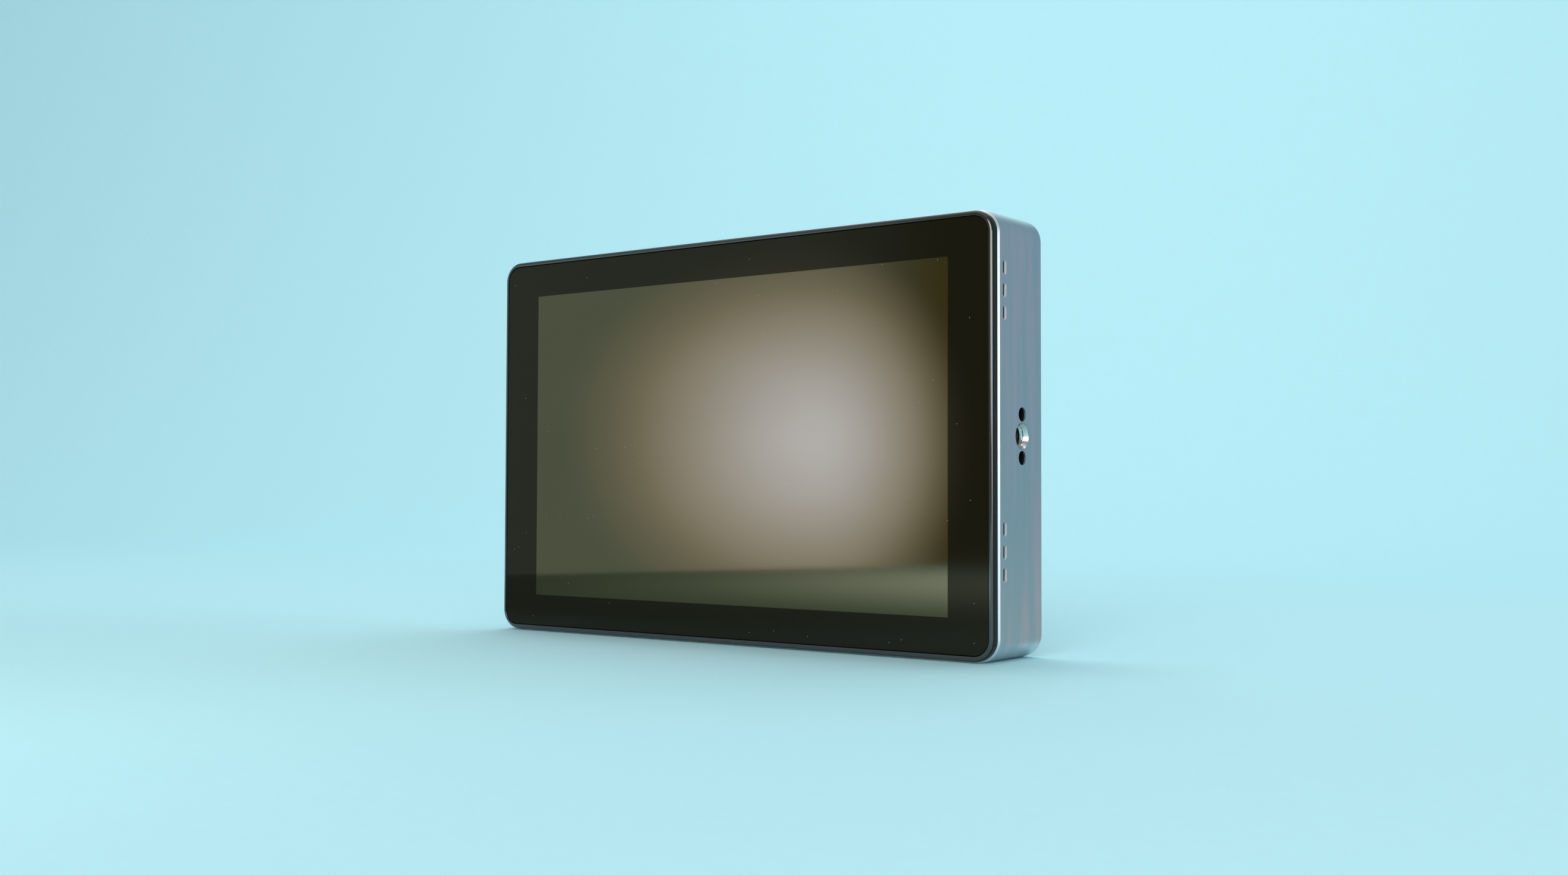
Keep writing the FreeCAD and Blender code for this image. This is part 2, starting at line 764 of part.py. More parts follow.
def make_board():
    posts = board_posts()
    standoffs = new_body("board_standoffs")

    def draw_posts(sketch):
        for x, z in posts:
            hexagon(sketch, x, z, "standoff_radius")
    pad(standoffs, "XZ_Plane", "shoulder_y", "board_y", draw_posts)
    cut(standoffs, "XZ_Plane", "shoulder_y", "board_y", circles(posts, "screw_hole"))
    board = new_body("main_board")
    pad(board, "XZ_Plane", "board_y", "board_back_y",
        bar("-board_width / 2", "board_width / 2", "board_low", "board_top"))
    cut(board, "XZ_Plane", "board_y", "board_back_y", circles(posts, "screw_hole"))
    screws = new_body("board_screws")
    pad(screws, "XZ_Plane", "board_back_y", "board_back_y + head_height", circles(posts, "head_radius"))
    pad(screws, "XZ_Plane", "board_back_y", "board_back_y - board_screw_length",
        circles(posts, "screw_radius"))
    pad(new_body("panel_connector"), "XZ_Plane", "spreader_y", "board_y",
        lambda sketch: link_box(sketch, "0"))


def make_chips():
    reach = "processor_side / 2"
    square = bar(f"processor_reach - {reach}", f"processor_reach + {reach}",
                 f"processor_rise - {reach}", f"processor_rise + {reach}")
    pad(new_body("processor"), "XZ_Plane", "board_y", "board_y - processor_height", square)
    pad(new_body("thermal_pad"), "XZ_Plane", "shoulder_y", "board_y - processor_height", square)

    def draw_memory(sketch):
        for place in range(MEMORY_CHIPS):
            middle = f"processor_rise + {place - (MEMORY_CHIPS - 1) / 2} * memory_pitch"
            box(sketch, "memory_reach - memory_width / 2", "memory_reach + memory_width / 2",
                f"{middle} - memory_length / 2", f"{middle} + memory_length / 2")
    pad(new_body("memory_chips"), "XZ_Plane", "board_y", "board_y - memory_height", draw_memory)

    def draw_coils(sketch):
        for place in range(COILS):
            middle = f"-coil_reach - {place} * coil_pitch"
            box(sketch, f"{middle} - coil_side / 2", f"{middle} + coil_side / 2",
                "coil_rise - coil_side / 2", "coil_rise + coil_side / 2")
    pad(new_body("power_inductors"), "XZ_Plane", "board_back_y", "board_back_y + coil_height", draw_coils)


def sdi_places():
    return {
        "sdi_in_socket": "-bay_middle - bnc_pitch / 2",
        "sdi_out_socket": "-bay_middle + bnc_pitch / 2",
    }


def hdmi_places():
    first = "bay_inner + hdmi_start"
    return {"hdmi_in_socket": first, "hdmi_out_socket": f"{first} + hdmi_pitch"}


def make_sdi_sockets():
    """Bayonet video sockets: a moulded block on the board, and a barrel down through the bay's ceiling."""
    for name, x in sdi_places().items():
        body = new_body(name)
        pad(body, "XZ_Plane", "board_back_y", "socket_y + bnc_block_back",
            bar(f"{x} - bnc_block_width / 2", f"{x} + bnc_block_width / 2",
                "bay_top", "bay_top + bnc_block_height"))
        turn(body, "Revolution", "V_Axis", (x, "socket_y", "0"), [
            ("bay_top + bnc_bevel", "0"),
            ("bay_top + bnc_bevel", "bnc_radius"),
            ("bnc_mouth + bnc_bevel", "bnc_radius"),
            ("bnc_mouth", "bnc_radius - bnc_bevel"),
            ("bnc_mouth", "0"),
        ])
        pad(body, "YZ_Plane", f"{x} - lug_reach", f"{x} + lug_reach",
            circles([("socket_y", "bnc_mouth + lug_drop")], "lug_radius"))
        cut(body, "XY_Plane", "bnc_mouth", "bnc_root", circles([(x, "socket_y")], "bnc_bore_radius"))
    middles = [(x, "socket_y") for x in sdi_places().values()]
    nuts = new_body("sdi_nuts")

    def draw_nuts(sketch):
        for x, y in middles:
            hexagon(sketch, x, y, "nut_flats / sqrt(3)")
    pad(nuts, "XY_Plane", "bay_height", "bay_height - nut_height", draw_nuts)
    cut(nuts, "XY_Plane", "bay_height", "bay_height - nut_height",
        circles(middles, "bnc_radius + thread_gap"))
    sleeves = new_body("sdi_dielectrics")
    pad(sleeves, "XY_Plane", "bnc_root", "bnc_mouth + dielectric_step", circles(middles, "dielectric_radius"))
    cut(sleeves, "XY_Plane", "bnc_root", "bnc_mouth + dielectric_step", circles(middles, "contact_radius"))
    pad(new_body("sdi_contacts"), "XY_Plane", "bnc_root", "bnc_mouth + dielectric_step",
        circles(middles, "contact_radius - thread_gap"))


def hdmi_outline(x, sheet_inset):
    """The socket's section: a wide side away from the board and bevelled corners next to it."""
    half = f"(hdmi_width / 2 - {sheet_inset})"
    near = f"board_back_y + {sheet_inset}"
    far = f"board_back_y + hdmi_height - {sheet_inset}"
    return [
        (f"{x} - {half} + hdmi_bevel", near),
        (f"{x} + {half} - hdmi_bevel", near),
        (f"{x} + {half}", f"{near} + hdmi_bevel"),
        (f"{x} + {half}", far),
        (f"{x} - {half}", far),
        (f"{x} - {half}", f"{near} + hdmi_bevel"),
    ]


def make_hdmi_sockets():
    for name, x in hdmi_places().items():
        body = new_body(name)
        pad(body, "XY_Plane", "hdmi_mouth", "hdmi_mouth + hdmi_length",
            lambda sketch: polygon(sketch, hdmi_outline(x, "0")))
        cut(body, "XY_Plane", "hdmi_mouth", "hdmi_root",
            lambda sketch: polygon(sketch, hdmi_outline(x, "hdmi_sheet")))
    middle = "board_back_y + hdmi_height / 2"

    def draw_tongues(sketch):
        for x in hdmi_places().values():
            box(sketch, f"{x} - tongue_width / 2", f"{x} + tongue_width / 2",
                f"{middle} - tongue_height / 2", f"{middle} + tongue_height / 2")
    pad(new_body("hdmi_tongues"), "XY_Plane", "hdmi_root", "hdmi_root - tongue_length", draw_tongues)


def inlet_middle():
    return "bay_inner + inlet_start"


def make_power_inlet():
    x = inlet_middle()
    body = new_body("power_inlet")
    pad(body, "XZ_Plane", "board_back_y", "socket_y + inlet_radius",
        bar(f"{x} - inlet_block_width / 2", f"{x} + inlet_block_width / 2",
            "bay_top", "bay_top + inlet_block_height"))
    turn(body, "Revolution", "V_Axis", (x, "socket_y", "0"), [
        ("bay_top + bnc_bevel", "0"),
        ("bay_top + bnc_bevel", "inlet_radius"),
        ("inlet_mouth + bnc_bevel", "inlet_radius"),
        ("inlet_mouth", "inlet_radius - bnc_bevel"),
        ("inlet_mouth", "0"),
    ])
    cut(body, "XY_Plane", "inlet_mouth", "inlet_root", circles([(x, "socket_y")], "inlet_bore_radius"))
    pins = [(f"{x} + {side} * inlet_pin_pitch / 2", "socket_y") for side in SIDES]
    pad(new_body("inlet_pins"), "XY_Plane", "inlet_root", "inlet_root - inlet_pin_length",
        circles(pins, "inlet_pin_radius"))


def make_headphone_jack():
    body = new_body("headphone_jack")
    pad(body, "YZ_Plane", "jack_root", "jack_root + jack_block_length",
        bar("board_back_y", "jack_y + jack_block_width / 2", "jack_rise - jack_block_width / 2", "jack_top"))
    pad(body, "YZ_Plane", "jack_root", "jack_mouth", circles([("jack_y", "jack_rise")], "jack_bush_radius"))
    cut(body, "YZ_Plane", "jack_mouth", "jack_mouth + jack_bore_depth",
        circles([("jack_y", "jack_rise")], "jack_bore_radius"))


def make_card_socket():
    body = new_body("card_socket")
    reach = "(card_width / 2 + card_wall)"
    pad(body, "YZ_Plane", "card_mouth", "card_mouth + card_length",
        bar("board_back_y", "board_back_y + card_shell", f"card_rise - {reach}", f"card_rise + {reach}"))
    cut(body, "YZ_Plane", "card_mouth", "card_mouth + card_depth",
        bar("card_y - card_height / 2", "card_y + card_height / 2",
            "card_rise - card_width / 2", "card_rise + card_width / 2"))


def bay_sides(side, gap):
    """Left and right limits of the bay on one side, grown by a gap."""
    ends = (f"{side} * (bay_inner - ({gap}))", f"{side} * (bay_outer + {gap})")
    return ends if side > 0 else ends[::-1]


def grille(sketch):
    for side in SIDES:
        for place in range(GRILLE_SLOTS):
            steps = place - (GRILLE_SLOTS - 1) / 2
            slot(sketch, f"{side} * grille_reach + {steps} * grille_pitch", "grille_rise",
                 "grille_width", "grille_length")


def cage_box(sketch, grow):
    box(sketch, f"cage_left - ({grow})", f"cage_right + {grow}", f"latch_low - seat_gap - ({grow})",
        f"latch_high + seat_gap + {grow}")


def block_box(sketch, gap):
    half = f"(block_width / 2 + {gap})"
    box(sketch, f"-{half}", half, f"block_low - {gap}", f"block_top + {gap}")


def ceiling_holes(sketch):
    for x in sdi_places().values():
        circle(sketch, x, "socket_y", "bnc_radius + seat_gap")
    circle(sketch, inlet_middle(), "socket_y", "inlet_radius + seat_gap")
    for x in hdmi_places().values():
        polygon(sketch, hdmi_outline(x, "-seat_gap"))


def make_rear_cover():
    """The moulded back: a plate that carries two tubs, open below and behind, for the cable plugs."""
    body = new_body("rear_cover")
    pad(body, "XZ_Plane", "cover_y", "rear_y", lambda sketch: body_outline(
        sketch, "cover_rim + seat_gap", "corner_radius - cover_rim - seat_gap"))
    soften(body, "Chamfer", "Size", "cover_break", outer_rim(body, "rear_y"))
    for side in SIDES:
        outer = bay_sides(side, "bay_wall")
        pad(body, "XZ_Plane", "bay_floor_y - bay_wall", "rear_y",
            lambda sketch: box(sketch, *outer, "foot_gap", "bay_top"))
    pad(body, "XZ_Plane", "cover_y", "cover_y - plate_boss_height",
        circles(plate_screw_places(), "plate_boss_radius"))
    for side in SIDES:
        inner = bay_sides(side, "0")
        cut(body, "XZ_Plane", "bay_floor_y", "rear_y + overrun",
            lambda sketch: round_box(sketch, *inner, "-overrun - bay_radius", "bay_height", "bay_radius"))
    cut(body, "XY_Plane", "bay_height - overrun", "bay_top + overrun", ceiling_holes)
    cut(body, "XZ_Plane", "cover_y", "rear_y", grille)
    cut(body, "XZ_Plane", "cover_y", "rear_y", lambda sketch: cage_box(sketch, "cage_wall + seat_gap"))
    cut(body, "XZ_Plane", "cover_y", "rear_y", lambda sketch: block_box(sketch, "seat_gap"))
    cut(body, "XZ_Plane", "cover_y - plate_boss_height", "rear_y",
        circles(plate_screw_places(), "screw_hole"))
    cut(body, "XZ_Plane", "cover_y", "rear_y", circles(columns(), "screw_hole"))
    seat = "rear_y - head_sink - head_height"
    cut(body, "XZ_Plane", seat, "rear_y", circles(columns(), "head_hole"))
    screws = new_body("rear_cover_screws")
    pad(screws, "XZ_Plane", seat, "rear_y - head_sink", circles(columns(), "head_radius"))
    pad(screws, "XZ_Plane", seat, f"{seat} - cover_screw_length", circles(columns(), "screw_radius"))


def hook_outline(side):
    """Section of a battery hook: an upright wall with a lip turned in over the plate."""
    wall_in = f"{side} * (plate_half - rail_wall)"
    lip_in = f"{side} * (plate_half - rail_wall - rail_lip)"
    outer = f"{side} * plate_half"
    lip_low = "rail_y - rail_lip_height"
    return [(outer, "rear_y"), (outer, "rail_y"), (lip_in, "rail_y"), (lip_in, lip_low), (wall_in, lip_low),
            (wall_in, "rear_y")]


def latch_windows(sketch):
    low = "latch_low - seat_gap"
    high = "latch_high + seat_gap"
    box(sketch, "tooth_reach - seat_gap", "tooth_reach + tooth_width + seat_gap", low, high)
    box(sketch, "latch_button_reach - seat_gap", "latch_end + seat_gap", low, high)


def make_battery_plate():
    body = new_body("battery_plate")
    pad(body, "XZ_Plane", "rear_y", "plate_y", lambda sketch: round_box(
        sketch, "-plate_half", "plate_half", "plate_low", "plate_top", "plate_radius"))
    pad(body, "XZ_Plane", "rear_y", "plate_y", lambda sketch: round_box(
        sketch, "plate_half - plate_radius * 2", "plate_half + wing_width", "latch_z - wing_height / 2",
        "latch_z + wing_height / 2", "plate_radius"))
    soften(body, "Fillet", "Radius", "plate_round", outer_rim(body, "plate_y"))
    for side in SIDES:
        for rise in ("lower_hook_rise", "upper_hook_rise"):
            pad(body, "XY_Plane", f"plate_low + {rise}", f"plate_low + {rise} + hook_length",
                lambda sketch: polygon(sketch, hook_outline(side)))
    cut(body, "XZ_Plane", "rear_y", "plate_y", latch_windows)
    cut(body, "XZ_Plane", "rear_y", "plate_y", lambda sketch: block_box(sketch, "seat_gap"))
    cut(body, "XZ_Plane", "rear_y", "plate_y", circles(plate_screw_places(), "screw_hole"))
    seat = "plate_y - head_sink - head_height"
    cut(body, "XZ_Plane", seat, "plate_y", circles(plate_screw_places(), "head_hole"))
    screws = new_body("battery_plate_screws")
    pad(screws, "XZ_Plane", seat, "plate_y - head_sink", circles(plate_screw_places(), "head_radius"))
    pad(screws, "XZ_Plane", seat, f"{seat} - plate_screw_length",
        circles(plate_screw_places(), "screw_radius"))


def blade_boxes(sketch, gap):
    middle = "plate_y + block_proud / 2"
    for side in SIDES:
        x = f"{side} * blade_pitch / 2"
        box(sketch, f"{x} - blade_thickness / 2 - {gap}", f"{x} + blade_thickness / 2 + {gap}",
            f"{middle} - blade_depth / 2 - {gap}", f"{middle} + blade_depth / 2 + {gap}")


def make_battery_contacts():
    block = new_body("contact_block")
    pad(block, "XZ_Plane", "board_back_y", "plate_y + block_proud", lambda sketch: block_box(sketch, "0"))
    cut(block, "XY_Plane", "block_top", "block_top - blade_root",
        lambda sketch: blade_boxes(sketch, "thread_gap"))
    blades = new_body("battery_contacts")
    pad(blades, "XY_Plane", "block_top - blade_root", "block_top - blade_root + blade_length",
        lambda sketch: blade_boxes(sketch, "0"))


def make_latch():
    """The latch: one sprung slide whose tooth locks the battery and whose button stands beside it."""
    body = new_body("battery_latch")
    pad(body, "XZ_Plane", "latch_back_y", "latch_top_y",
        bar("tooth_reach", "latch_end", "latch_low", "latch_high"))
    pad(body, "XZ_Plane", "latch_top_y", "plate_y + latch_button_proud",
        bar("latch_button_reach", "latch_end", "latch_low", "latch_high"))
    pad(body, "YZ_Plane", "tooth_reach", "tooth_reach + tooth_width", lambda sketch: polygon(sketch, [
        ("latch_top_y", "latch_low"), ("tooth_y", "latch_low"), ("tooth_y", "latch_low + tooth_crest"),
        ("plate_y", "latch_high"), ("latch_top_y", "latch_high")]))
    soften(body, "Fillet", "Radius", "latch_button_round", outer_rim(body, "plate_y + latch_button_proud"))
    cage = new_body("latch_cage")
    pad(cage, "XZ_Plane", "cage_y - cage_floor", "rear_y", lambda sketch: cage_box(sketch, "cage_wall"))
    cut(cage, "XZ_Plane", "cage_y", "rear_y", lambda sketch: cage_box(sketch, "0"))


def coil_path(radius, start, end):
    """A helix along Y as one wire of half turn arcs."""
    steps = SPRING_TURNS * 4

    def on_helix(place):
        angle = place * math.pi / 2
        along = start + (end - start) * place / steps
        return FreeCAD.Vector(radius * math.cos(angle), along, radius * math.sin(angle))
    spans = [[on_helix(start_step + step) for step in range(3)] for start_step in range(0, steps, 2)]
    return Part.Wire([Part.Arc(*span).toShape() for span in spans])


def make_spring():
    """The latch's return spring, seated between the cage's floor and the back of the slide."""
    radius = number("spring_radius")
    wire = number("spring_wire_radius")
    path = coil_path(radius, number("cage_y") + wire * 2, number("latch_back_y") - wire * 2)
    first = path.OrderedEdges[0]
    begin = first.FirstParameter
    section = Part.Wire(Part.Circle(first.valueAt(begin), first.tangentAt(begin), wire).toShape())
    spring = doc.addObject("Part::Feature", "latch_spring")
    spring.Label = "latch_spring"
    spring.Shape = path.makePipeShell([section], True, False)
    middle_x = number("(cage_left + cage_right) / 2")
    spring.Placement = FreeCAD.Placement(FreeCAD.Vector(middle_x, 0, number("latch_z")), FreeCAD.Rotation())
    pieces.append(spring)


def make_power_button():
    axis = ("button_reach", "button_y", "0")
    button = new_body("power_button")
    turn(button, "Revolution", "V_Axis", axis, [
        ("button_top", "0"),
        ("button_top", "button_radius - button_round"),
        ("button_top - button_round", "button_radius"),
        ("flange_top", "button_radius"),
        ("flange_top", "button_radius + button_flange"),
        ("flange_low", "button_radius + button_flange"),
        ("flange_low", "button_stem_radius"),
        ("plunger_top", "button_stem_radius"),
        ("plunger_top", "0"),
    ])
    plunger = new_body("switch_plunger")
    pad(plunger, "XY_Plane", "switch_top - plunger_root", "plunger_top",
        circles([("button_reach", "button_y")], "plunger_radius"))
    switch = new_body("power_switch")
    pad(switch, "XZ_Plane", "board_back_y", "board_back_y + switch_depth",
        bar("button_reach - switch_width / 2", "button_reach + switch_width / 2", "switch_low", "switch_top"))
    cut(switch, "XY_Plane", "switch_top", "switch_top - plunger_root - button_travel - slide_gap",
        circles([("button_reach", "button_y")], "plunger_radius + slide_gap"))


def check_pieces():
    doc.recompute()
    for item in doc.Objects:
        if "Invalid" in item.State or "Error" in item.State:
            raise RuntimeError(f"{item.Label} failed to build")
    for piece in pieces:
        if piece.Shape.isNull() or not piece.Shape.isValid():
            raise RuntimeError(f"{piece.Label} has no valid shape")


def write_pieces():
    os.makedirs("parts", exist_ok=True)
    for piece in pieces:
        piece.Shape.exportStep(f"parts/{piece.Label}.step")
        print(piece.Label, len(piece.Shape.Solids), round(piece.Shape.Volume, 2))


def main():
    fill_sheet()
    make_housing()
    make_inserts()
    make_bezel()
    make_glass()
    make_display_stack()
    make_spreader()
    make_board()
    make_chips()
    make_sdi_sockets()
    make_hdmi_sockets()
    make_power_inlet()
    make_headphone_jack()
    make_card_socket()
    make_rear_cover()
    make_battery_plate()
    make_battery_contacts()
    make_latch()
    make_spring()
    make_power_button()
    check_pieces()
    write_pieces()


main()
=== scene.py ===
import json
import math

import bmesh
import bpy
from bmesh.types import BMEdge, BMVert
from mathutils import Matrix, Vector


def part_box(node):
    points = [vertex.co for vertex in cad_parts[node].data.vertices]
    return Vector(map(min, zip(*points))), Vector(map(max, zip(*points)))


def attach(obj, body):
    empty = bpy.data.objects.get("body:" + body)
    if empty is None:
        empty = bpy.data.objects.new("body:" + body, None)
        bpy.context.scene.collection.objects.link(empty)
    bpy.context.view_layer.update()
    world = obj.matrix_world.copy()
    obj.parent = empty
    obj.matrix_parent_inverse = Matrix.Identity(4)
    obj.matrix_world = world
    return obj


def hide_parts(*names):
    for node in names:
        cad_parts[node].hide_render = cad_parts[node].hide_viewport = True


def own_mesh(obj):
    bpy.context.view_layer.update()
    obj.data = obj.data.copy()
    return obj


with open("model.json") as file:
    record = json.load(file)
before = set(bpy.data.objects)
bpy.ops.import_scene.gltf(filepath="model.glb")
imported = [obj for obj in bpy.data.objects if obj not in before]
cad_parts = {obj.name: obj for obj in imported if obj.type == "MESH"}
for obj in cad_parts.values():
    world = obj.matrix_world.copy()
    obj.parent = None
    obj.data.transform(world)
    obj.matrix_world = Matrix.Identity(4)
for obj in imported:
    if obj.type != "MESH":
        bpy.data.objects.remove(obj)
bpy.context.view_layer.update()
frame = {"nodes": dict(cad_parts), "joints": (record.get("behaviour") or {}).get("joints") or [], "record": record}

mm = 0.001
slotOf = {row["node"]: row["material_slot"] for row in frame["record"]["subparts"]}
colourOf = {row["slot"]: tuple(row["base_color"][:3]) for row in frame["record"]["materials"]}
print("frame loaded with", len(frame["nodes"]), "nodes")


class Wire:
    # one value that travels along a link, so that shader maths reads as sums
    def __init__(self, finish, socket):
        self.finish = finish
        self.socket = socket

    def maths(self, operation, left, right):
        return self.finish.node("ShaderNodeMath", {"operation": operation}, {0: left, 1: right})

    def __add__(self, other):
        return self.maths("ADD", self, other)

    def __radd__(self, other):
        return self.maths("ADD", other, self)

    def __sub__(self, other):
        return self.maths("SUBTRACT", self, other)

    def __rsub__(self, other):
        return self.maths("SUBTRACT", other, self)

    def __mul__(self, other):
        return self.maths("MULTIPLY", self, other)

    def __rmul__(self, other):
        return self.maths("MULTIPLY", other, self)

    def __pow__(self, other):
        return self.maths("POWER", self, other)

    def __abs__(self):
        return self.maths("ABSOLUTE", self, 0.0)

    def most(self, other):
        return self.maths("MAXIMUM", self, other)

    def least(self, other):
        return self.maths("MINIMUM", self, other)


class Finish:
    # one material: its nodes, and the few patterns that the finishes share
    def __init__(self, name):
        self.material = bpy.data.materials.new(name)
        self.material.use_nodes = True
        self.tree = self.material.node_tree
        self.shader = self.tree.nodes["Principled BSDF"]
        self.place = self.node("ShaderNodeTexCoord", {}, {}, "Object")
        self.x, self.y, self.z = (self.axis(way) for way in "XYZ")

    def node(self, kind, settings, sockets, output=0):
        made = self.tree.nodes.new(kind)
        for name, value in settings.items():
            setattr(made, name, value)
        for name, value in sockets.items():
            if isinstance(value, Wire):
                self.tree.links.new(value.socket, made.inputs[name])
            else:
                made.inputs[name].default_value = value
        return Wire(self, made.outputs[output])

    def axis(self, way):
        return self.node("ShaderNodeSeparateXYZ", {}, {0: self.place}, way)

    def flat(self, across, up):
        return self.node("ShaderNodeCombineXYZ", {}, {0: across, 1: up})

    def ramp(self, value, low, high, start=0.0, end=1.0):
        sockets = {"Value": value, "From Min": low, "From Max": high, "To Min": start, "To Max": end}
        return self.node("ShaderNodeMapRange", {"interpolation_type": "SMOOTHSTEP"}, sockets)

    def level(self, noise, start=0.0, end=1.0):
        return self.ramp(noise, 0.3, 0.7, start, end)  # nearly all of a noise lies between these two

    def noise(self, scale, detail, stretch=(1, 1, 1)):
        place = self.node("ShaderNodeMapping", {}, {"Vector": self.place, "Scale": stretch})
        return self.node("ShaderNodeTexNoise", {}, {"Vector": place, "Scale": scale, "Detail": detail})

    def specks(self, scale, size, share, place=None):
        # small round dots at random places, on a share of the cells of a flat or a solid grid
        core, step = 0.6, 0.01  # the solid part of a dot, and how sharply cells are drawn
        cells = {"Vector": place or self.place, "Scale": scale}
        grid = {"voronoi_dimensions": "2D" if place else "3D"}
        distance = self.node("ShaderNodeTexVoronoi", grid, cells, "Distance")
        chance = self.node("ShaderNodeTexVoronoi", grid, cells, "Color")
        return self.ramp(distance, size, size * core) * self.ramp(chance, 1 - share, 1 - share + step)

    def wave(self, along, pitch):
        return self.node("ShaderNodeMath", {"operation": "SINE"}, {0: along * (2 * math.pi / pitch)})

    def blend(self, share, first, second):
        colours = [(*colour, 1.0) if isinstance(colour, tuple) else colour for colour in (first, second)]
        sockets = {0: share, 6: colours[0], 7: colours[1]}  # where a Mix node keeps its colours
        return self.node("ShaderNodeMix", {"data_type": "RGBA"}, sockets, 2)

    def bump(self, height, depth, strength):
        return self.node("ShaderNodeBump", {}, {"Height": height, "Distance": depth, "Strength": strength})

    def dress(self, **sockets):
        # finishing values straight onto the shader, by socket name with _ for a space
        for name, value in sockets.items():
            socket = self.shader.inputs[name.replace("_", " ")]
            if isinstance(value, Wire):
                self.tree.links.new(value.socket, socket)
            else:
                socket.default_value = (*value, 1.0) if isinstance(value, tuple) else value
        return self.material


def shade(colour, factor):
    return tuple(min(1.0, channel * factor) for channel in colour)


# Milled frame, with the holes and slots in its edges
# a noise is (scale, detail, stretch), specks are (scale, size, share) and a bump is (depth, strength)

milled = {
    "streakTints": ((0.66, 0.59, 0.64), (0.50, 0.58, 0.62)),
    "streakSpan": (0.40, 0.60),
    "broadStreaks": (26, 4, (1.0, 11.0, 0.55)),
    "fineStreaks": (34, 2, (1.0, 5.0, 0.6)),
    "broadShare": 0.55,
    "roughness": (0.33, 0.43),
    "grain": (5200, 2, (1.0, 1.0, 0.25)),
    "grainBump": (0.004 * mm, 0.5),
    "grainRoughness": 0.12,
    "nicks": (150, 0.022, 0.10),
    "nickTint": (0.95, 0.95, 0.95),
    "chamferDepths": (0.55 * mm, 0.44 * mm),
    "chamferTint": (0.80, 0.81, 0.83),
}
edgeHoles = {
    "pinRadius": 1.95 * mm,
    "pinReach": 5.715 * mm,
    "pinRim": (0.25 * mm, 0.50 * mm),
    "pinFloor": (6.0 * mm, 5.0 * mm),
    "boreRadius": 3.45 * mm,
    "boreTop": (4.0 * mm, 4.4 * mm),
    "softEdge": 1.02,
    "tint": (0.004, 0.004, 0.004),
}
edgeSlots = {
    "setback": 3.0 * mm,
    "halfWidth": (1.05 * mm, 1.0 * mm),
    "reach": (48.0 * mm, 47.0 * mm),
    "mouth": (0.01 * mm, 0.08 * mm),
    # painted shade: below this depth the slot walls are painted dark, where the light does not reach
    "paintedShadeDepths": (0.72 * mm, 0.79 * mm),
    "tint": (0.74, 0.75, 0.78),
    "paintedShadeTint": (0.006, 0.007, 0.008),
    "matt": 0.8,
    "roughness": 0.25,
}


def edgeDepths(finish):
    # how far along and how far below the side edges, and then the top and bottom edges, a point lies
    low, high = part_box("housing")
    middle = (low.z + high.z) / 2
    across, rise = abs(finish.x), abs(finish.z - middle)
    return (rise, high.x - across), (across, middle - rise)


def holeMask(finish, edges, reach, radius, *depthRamps):
    # inside round holes in all four edges, at a reach on both sides of each edge's middle
    masks = []
    for along, depth in edges:
        distance = ((along - reach) ** 2.0 + finish.y ** 2.0) ** 0.5
        mask = finish.ramp(distance, radius * edgeHoles["softEdge"], radius)
        for start, end in depthRamps:
            mask = mask * finish.ramp(depth, start, end)
        masks.append(mask)
    return masks[0].most(masks[1])


def liningMask(finish, edges):
    # the locating pin holes below their bright rims, and the blind ends of the tripod holes
    pinDepths = edgeHoles["pinRim"], edgeHoles["pinFloor"]
    pins = holeMask(finish, edges, edgeHoles["pinReach"], edgeHoles["pinRadius"], *pinDepths)
    bores = holeMask(finish, edges, 0.0, edgeHoles["boreRadius"], edgeHoles["boreTop"])
    return pins.most(bores)


def slotMasks(finish, along, depth):
    # the walls of the side slots, which the cutter leaves matt, with painted shade on their inner part, deeper
    # than the light reaches
    offset = abs(finish.y - (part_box("housing")[0].y + edgeSlots["setback"]))
    walls = finish.ramp(offset, *edgeSlots["halfWidth"]) * finish.ramp(depth, *edgeSlots["mouth"])
    return walls * finish.ramp(along, *edgeSlots["reach"]), finish.ramp(depth, *edgeSlots["paintedShadeDepths"])


def milledAluminium(slot):
    finish = Finish(slot)
    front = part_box("housing")[0].y
    share = milled["broadShare"]
    broad, fine = finish.noise(*milled["broadStreaks"]), finish.noise(*milled["fineStreaks"])
    streaks = broad * share + fine * (1 - share)
    grain = finish.noise(*milled["grain"])
    nicks = finish.specks(*milled["nicks"], finish.flat(finish.y + finish.x, finish.z))
    chamfer = finish.ramp(finish.y, *(front + depth for depth in milled["chamferDepths"]))
    edges = edgeDepths(finish)
    lining = liningMask(finish, edges)
    slots, slotShade = slotMasks(finish, *edges[0])
    colour = finish.blend(finish.ramp(streaks, *milled["streakSpan"]), *milled["streakTints"])
    colour = finish.blend(nicks, colour, milled["nickTint"])
    colour = finish.blend(chamfer, colour, milled["chamferTint"])
    # slot walls pale and matt near the mouth, with painted shade deeper in
    colour = finish.blend(slots, colour, finish.blend(slotShade, edgeSlots["tint"], edgeSlots["paintedShadeTint"]))
    colour = finish.blend(lining, colour, edgeHoles["tint"])
    rough = finish.level(streaks, *milled["roughness"]) + (grain - 0.5) * milled["grainRoughness"]
    return finish.dress(
        Base_Color=colour, Metallic=1 - lining.most(slots * edgeSlots["matt"]),
        Roughness=rough + slots * edgeSlots["roughness"], Normal=finish.bump(grain, *milled["grainBump"]))


# Tripod bushes

turned = {
    "darkDepths": (1.9 * mm, 2.3 * mm),
    # the colour, metal share and roughness of the thread deeper than about two millimetres
    "deepThreadTint": (0.012, 0.011, 0.010),
    "deepThreadCover": 0.9,
    "deepThreadRoughness": 0.2,
    "smears": (300, 2),
    "smearShade": 0.82,
    "rings": (4200, 2),
    "ringBump": (0.003 * mm, 0.5),
    "roughness": (0.14, 0.26),
}


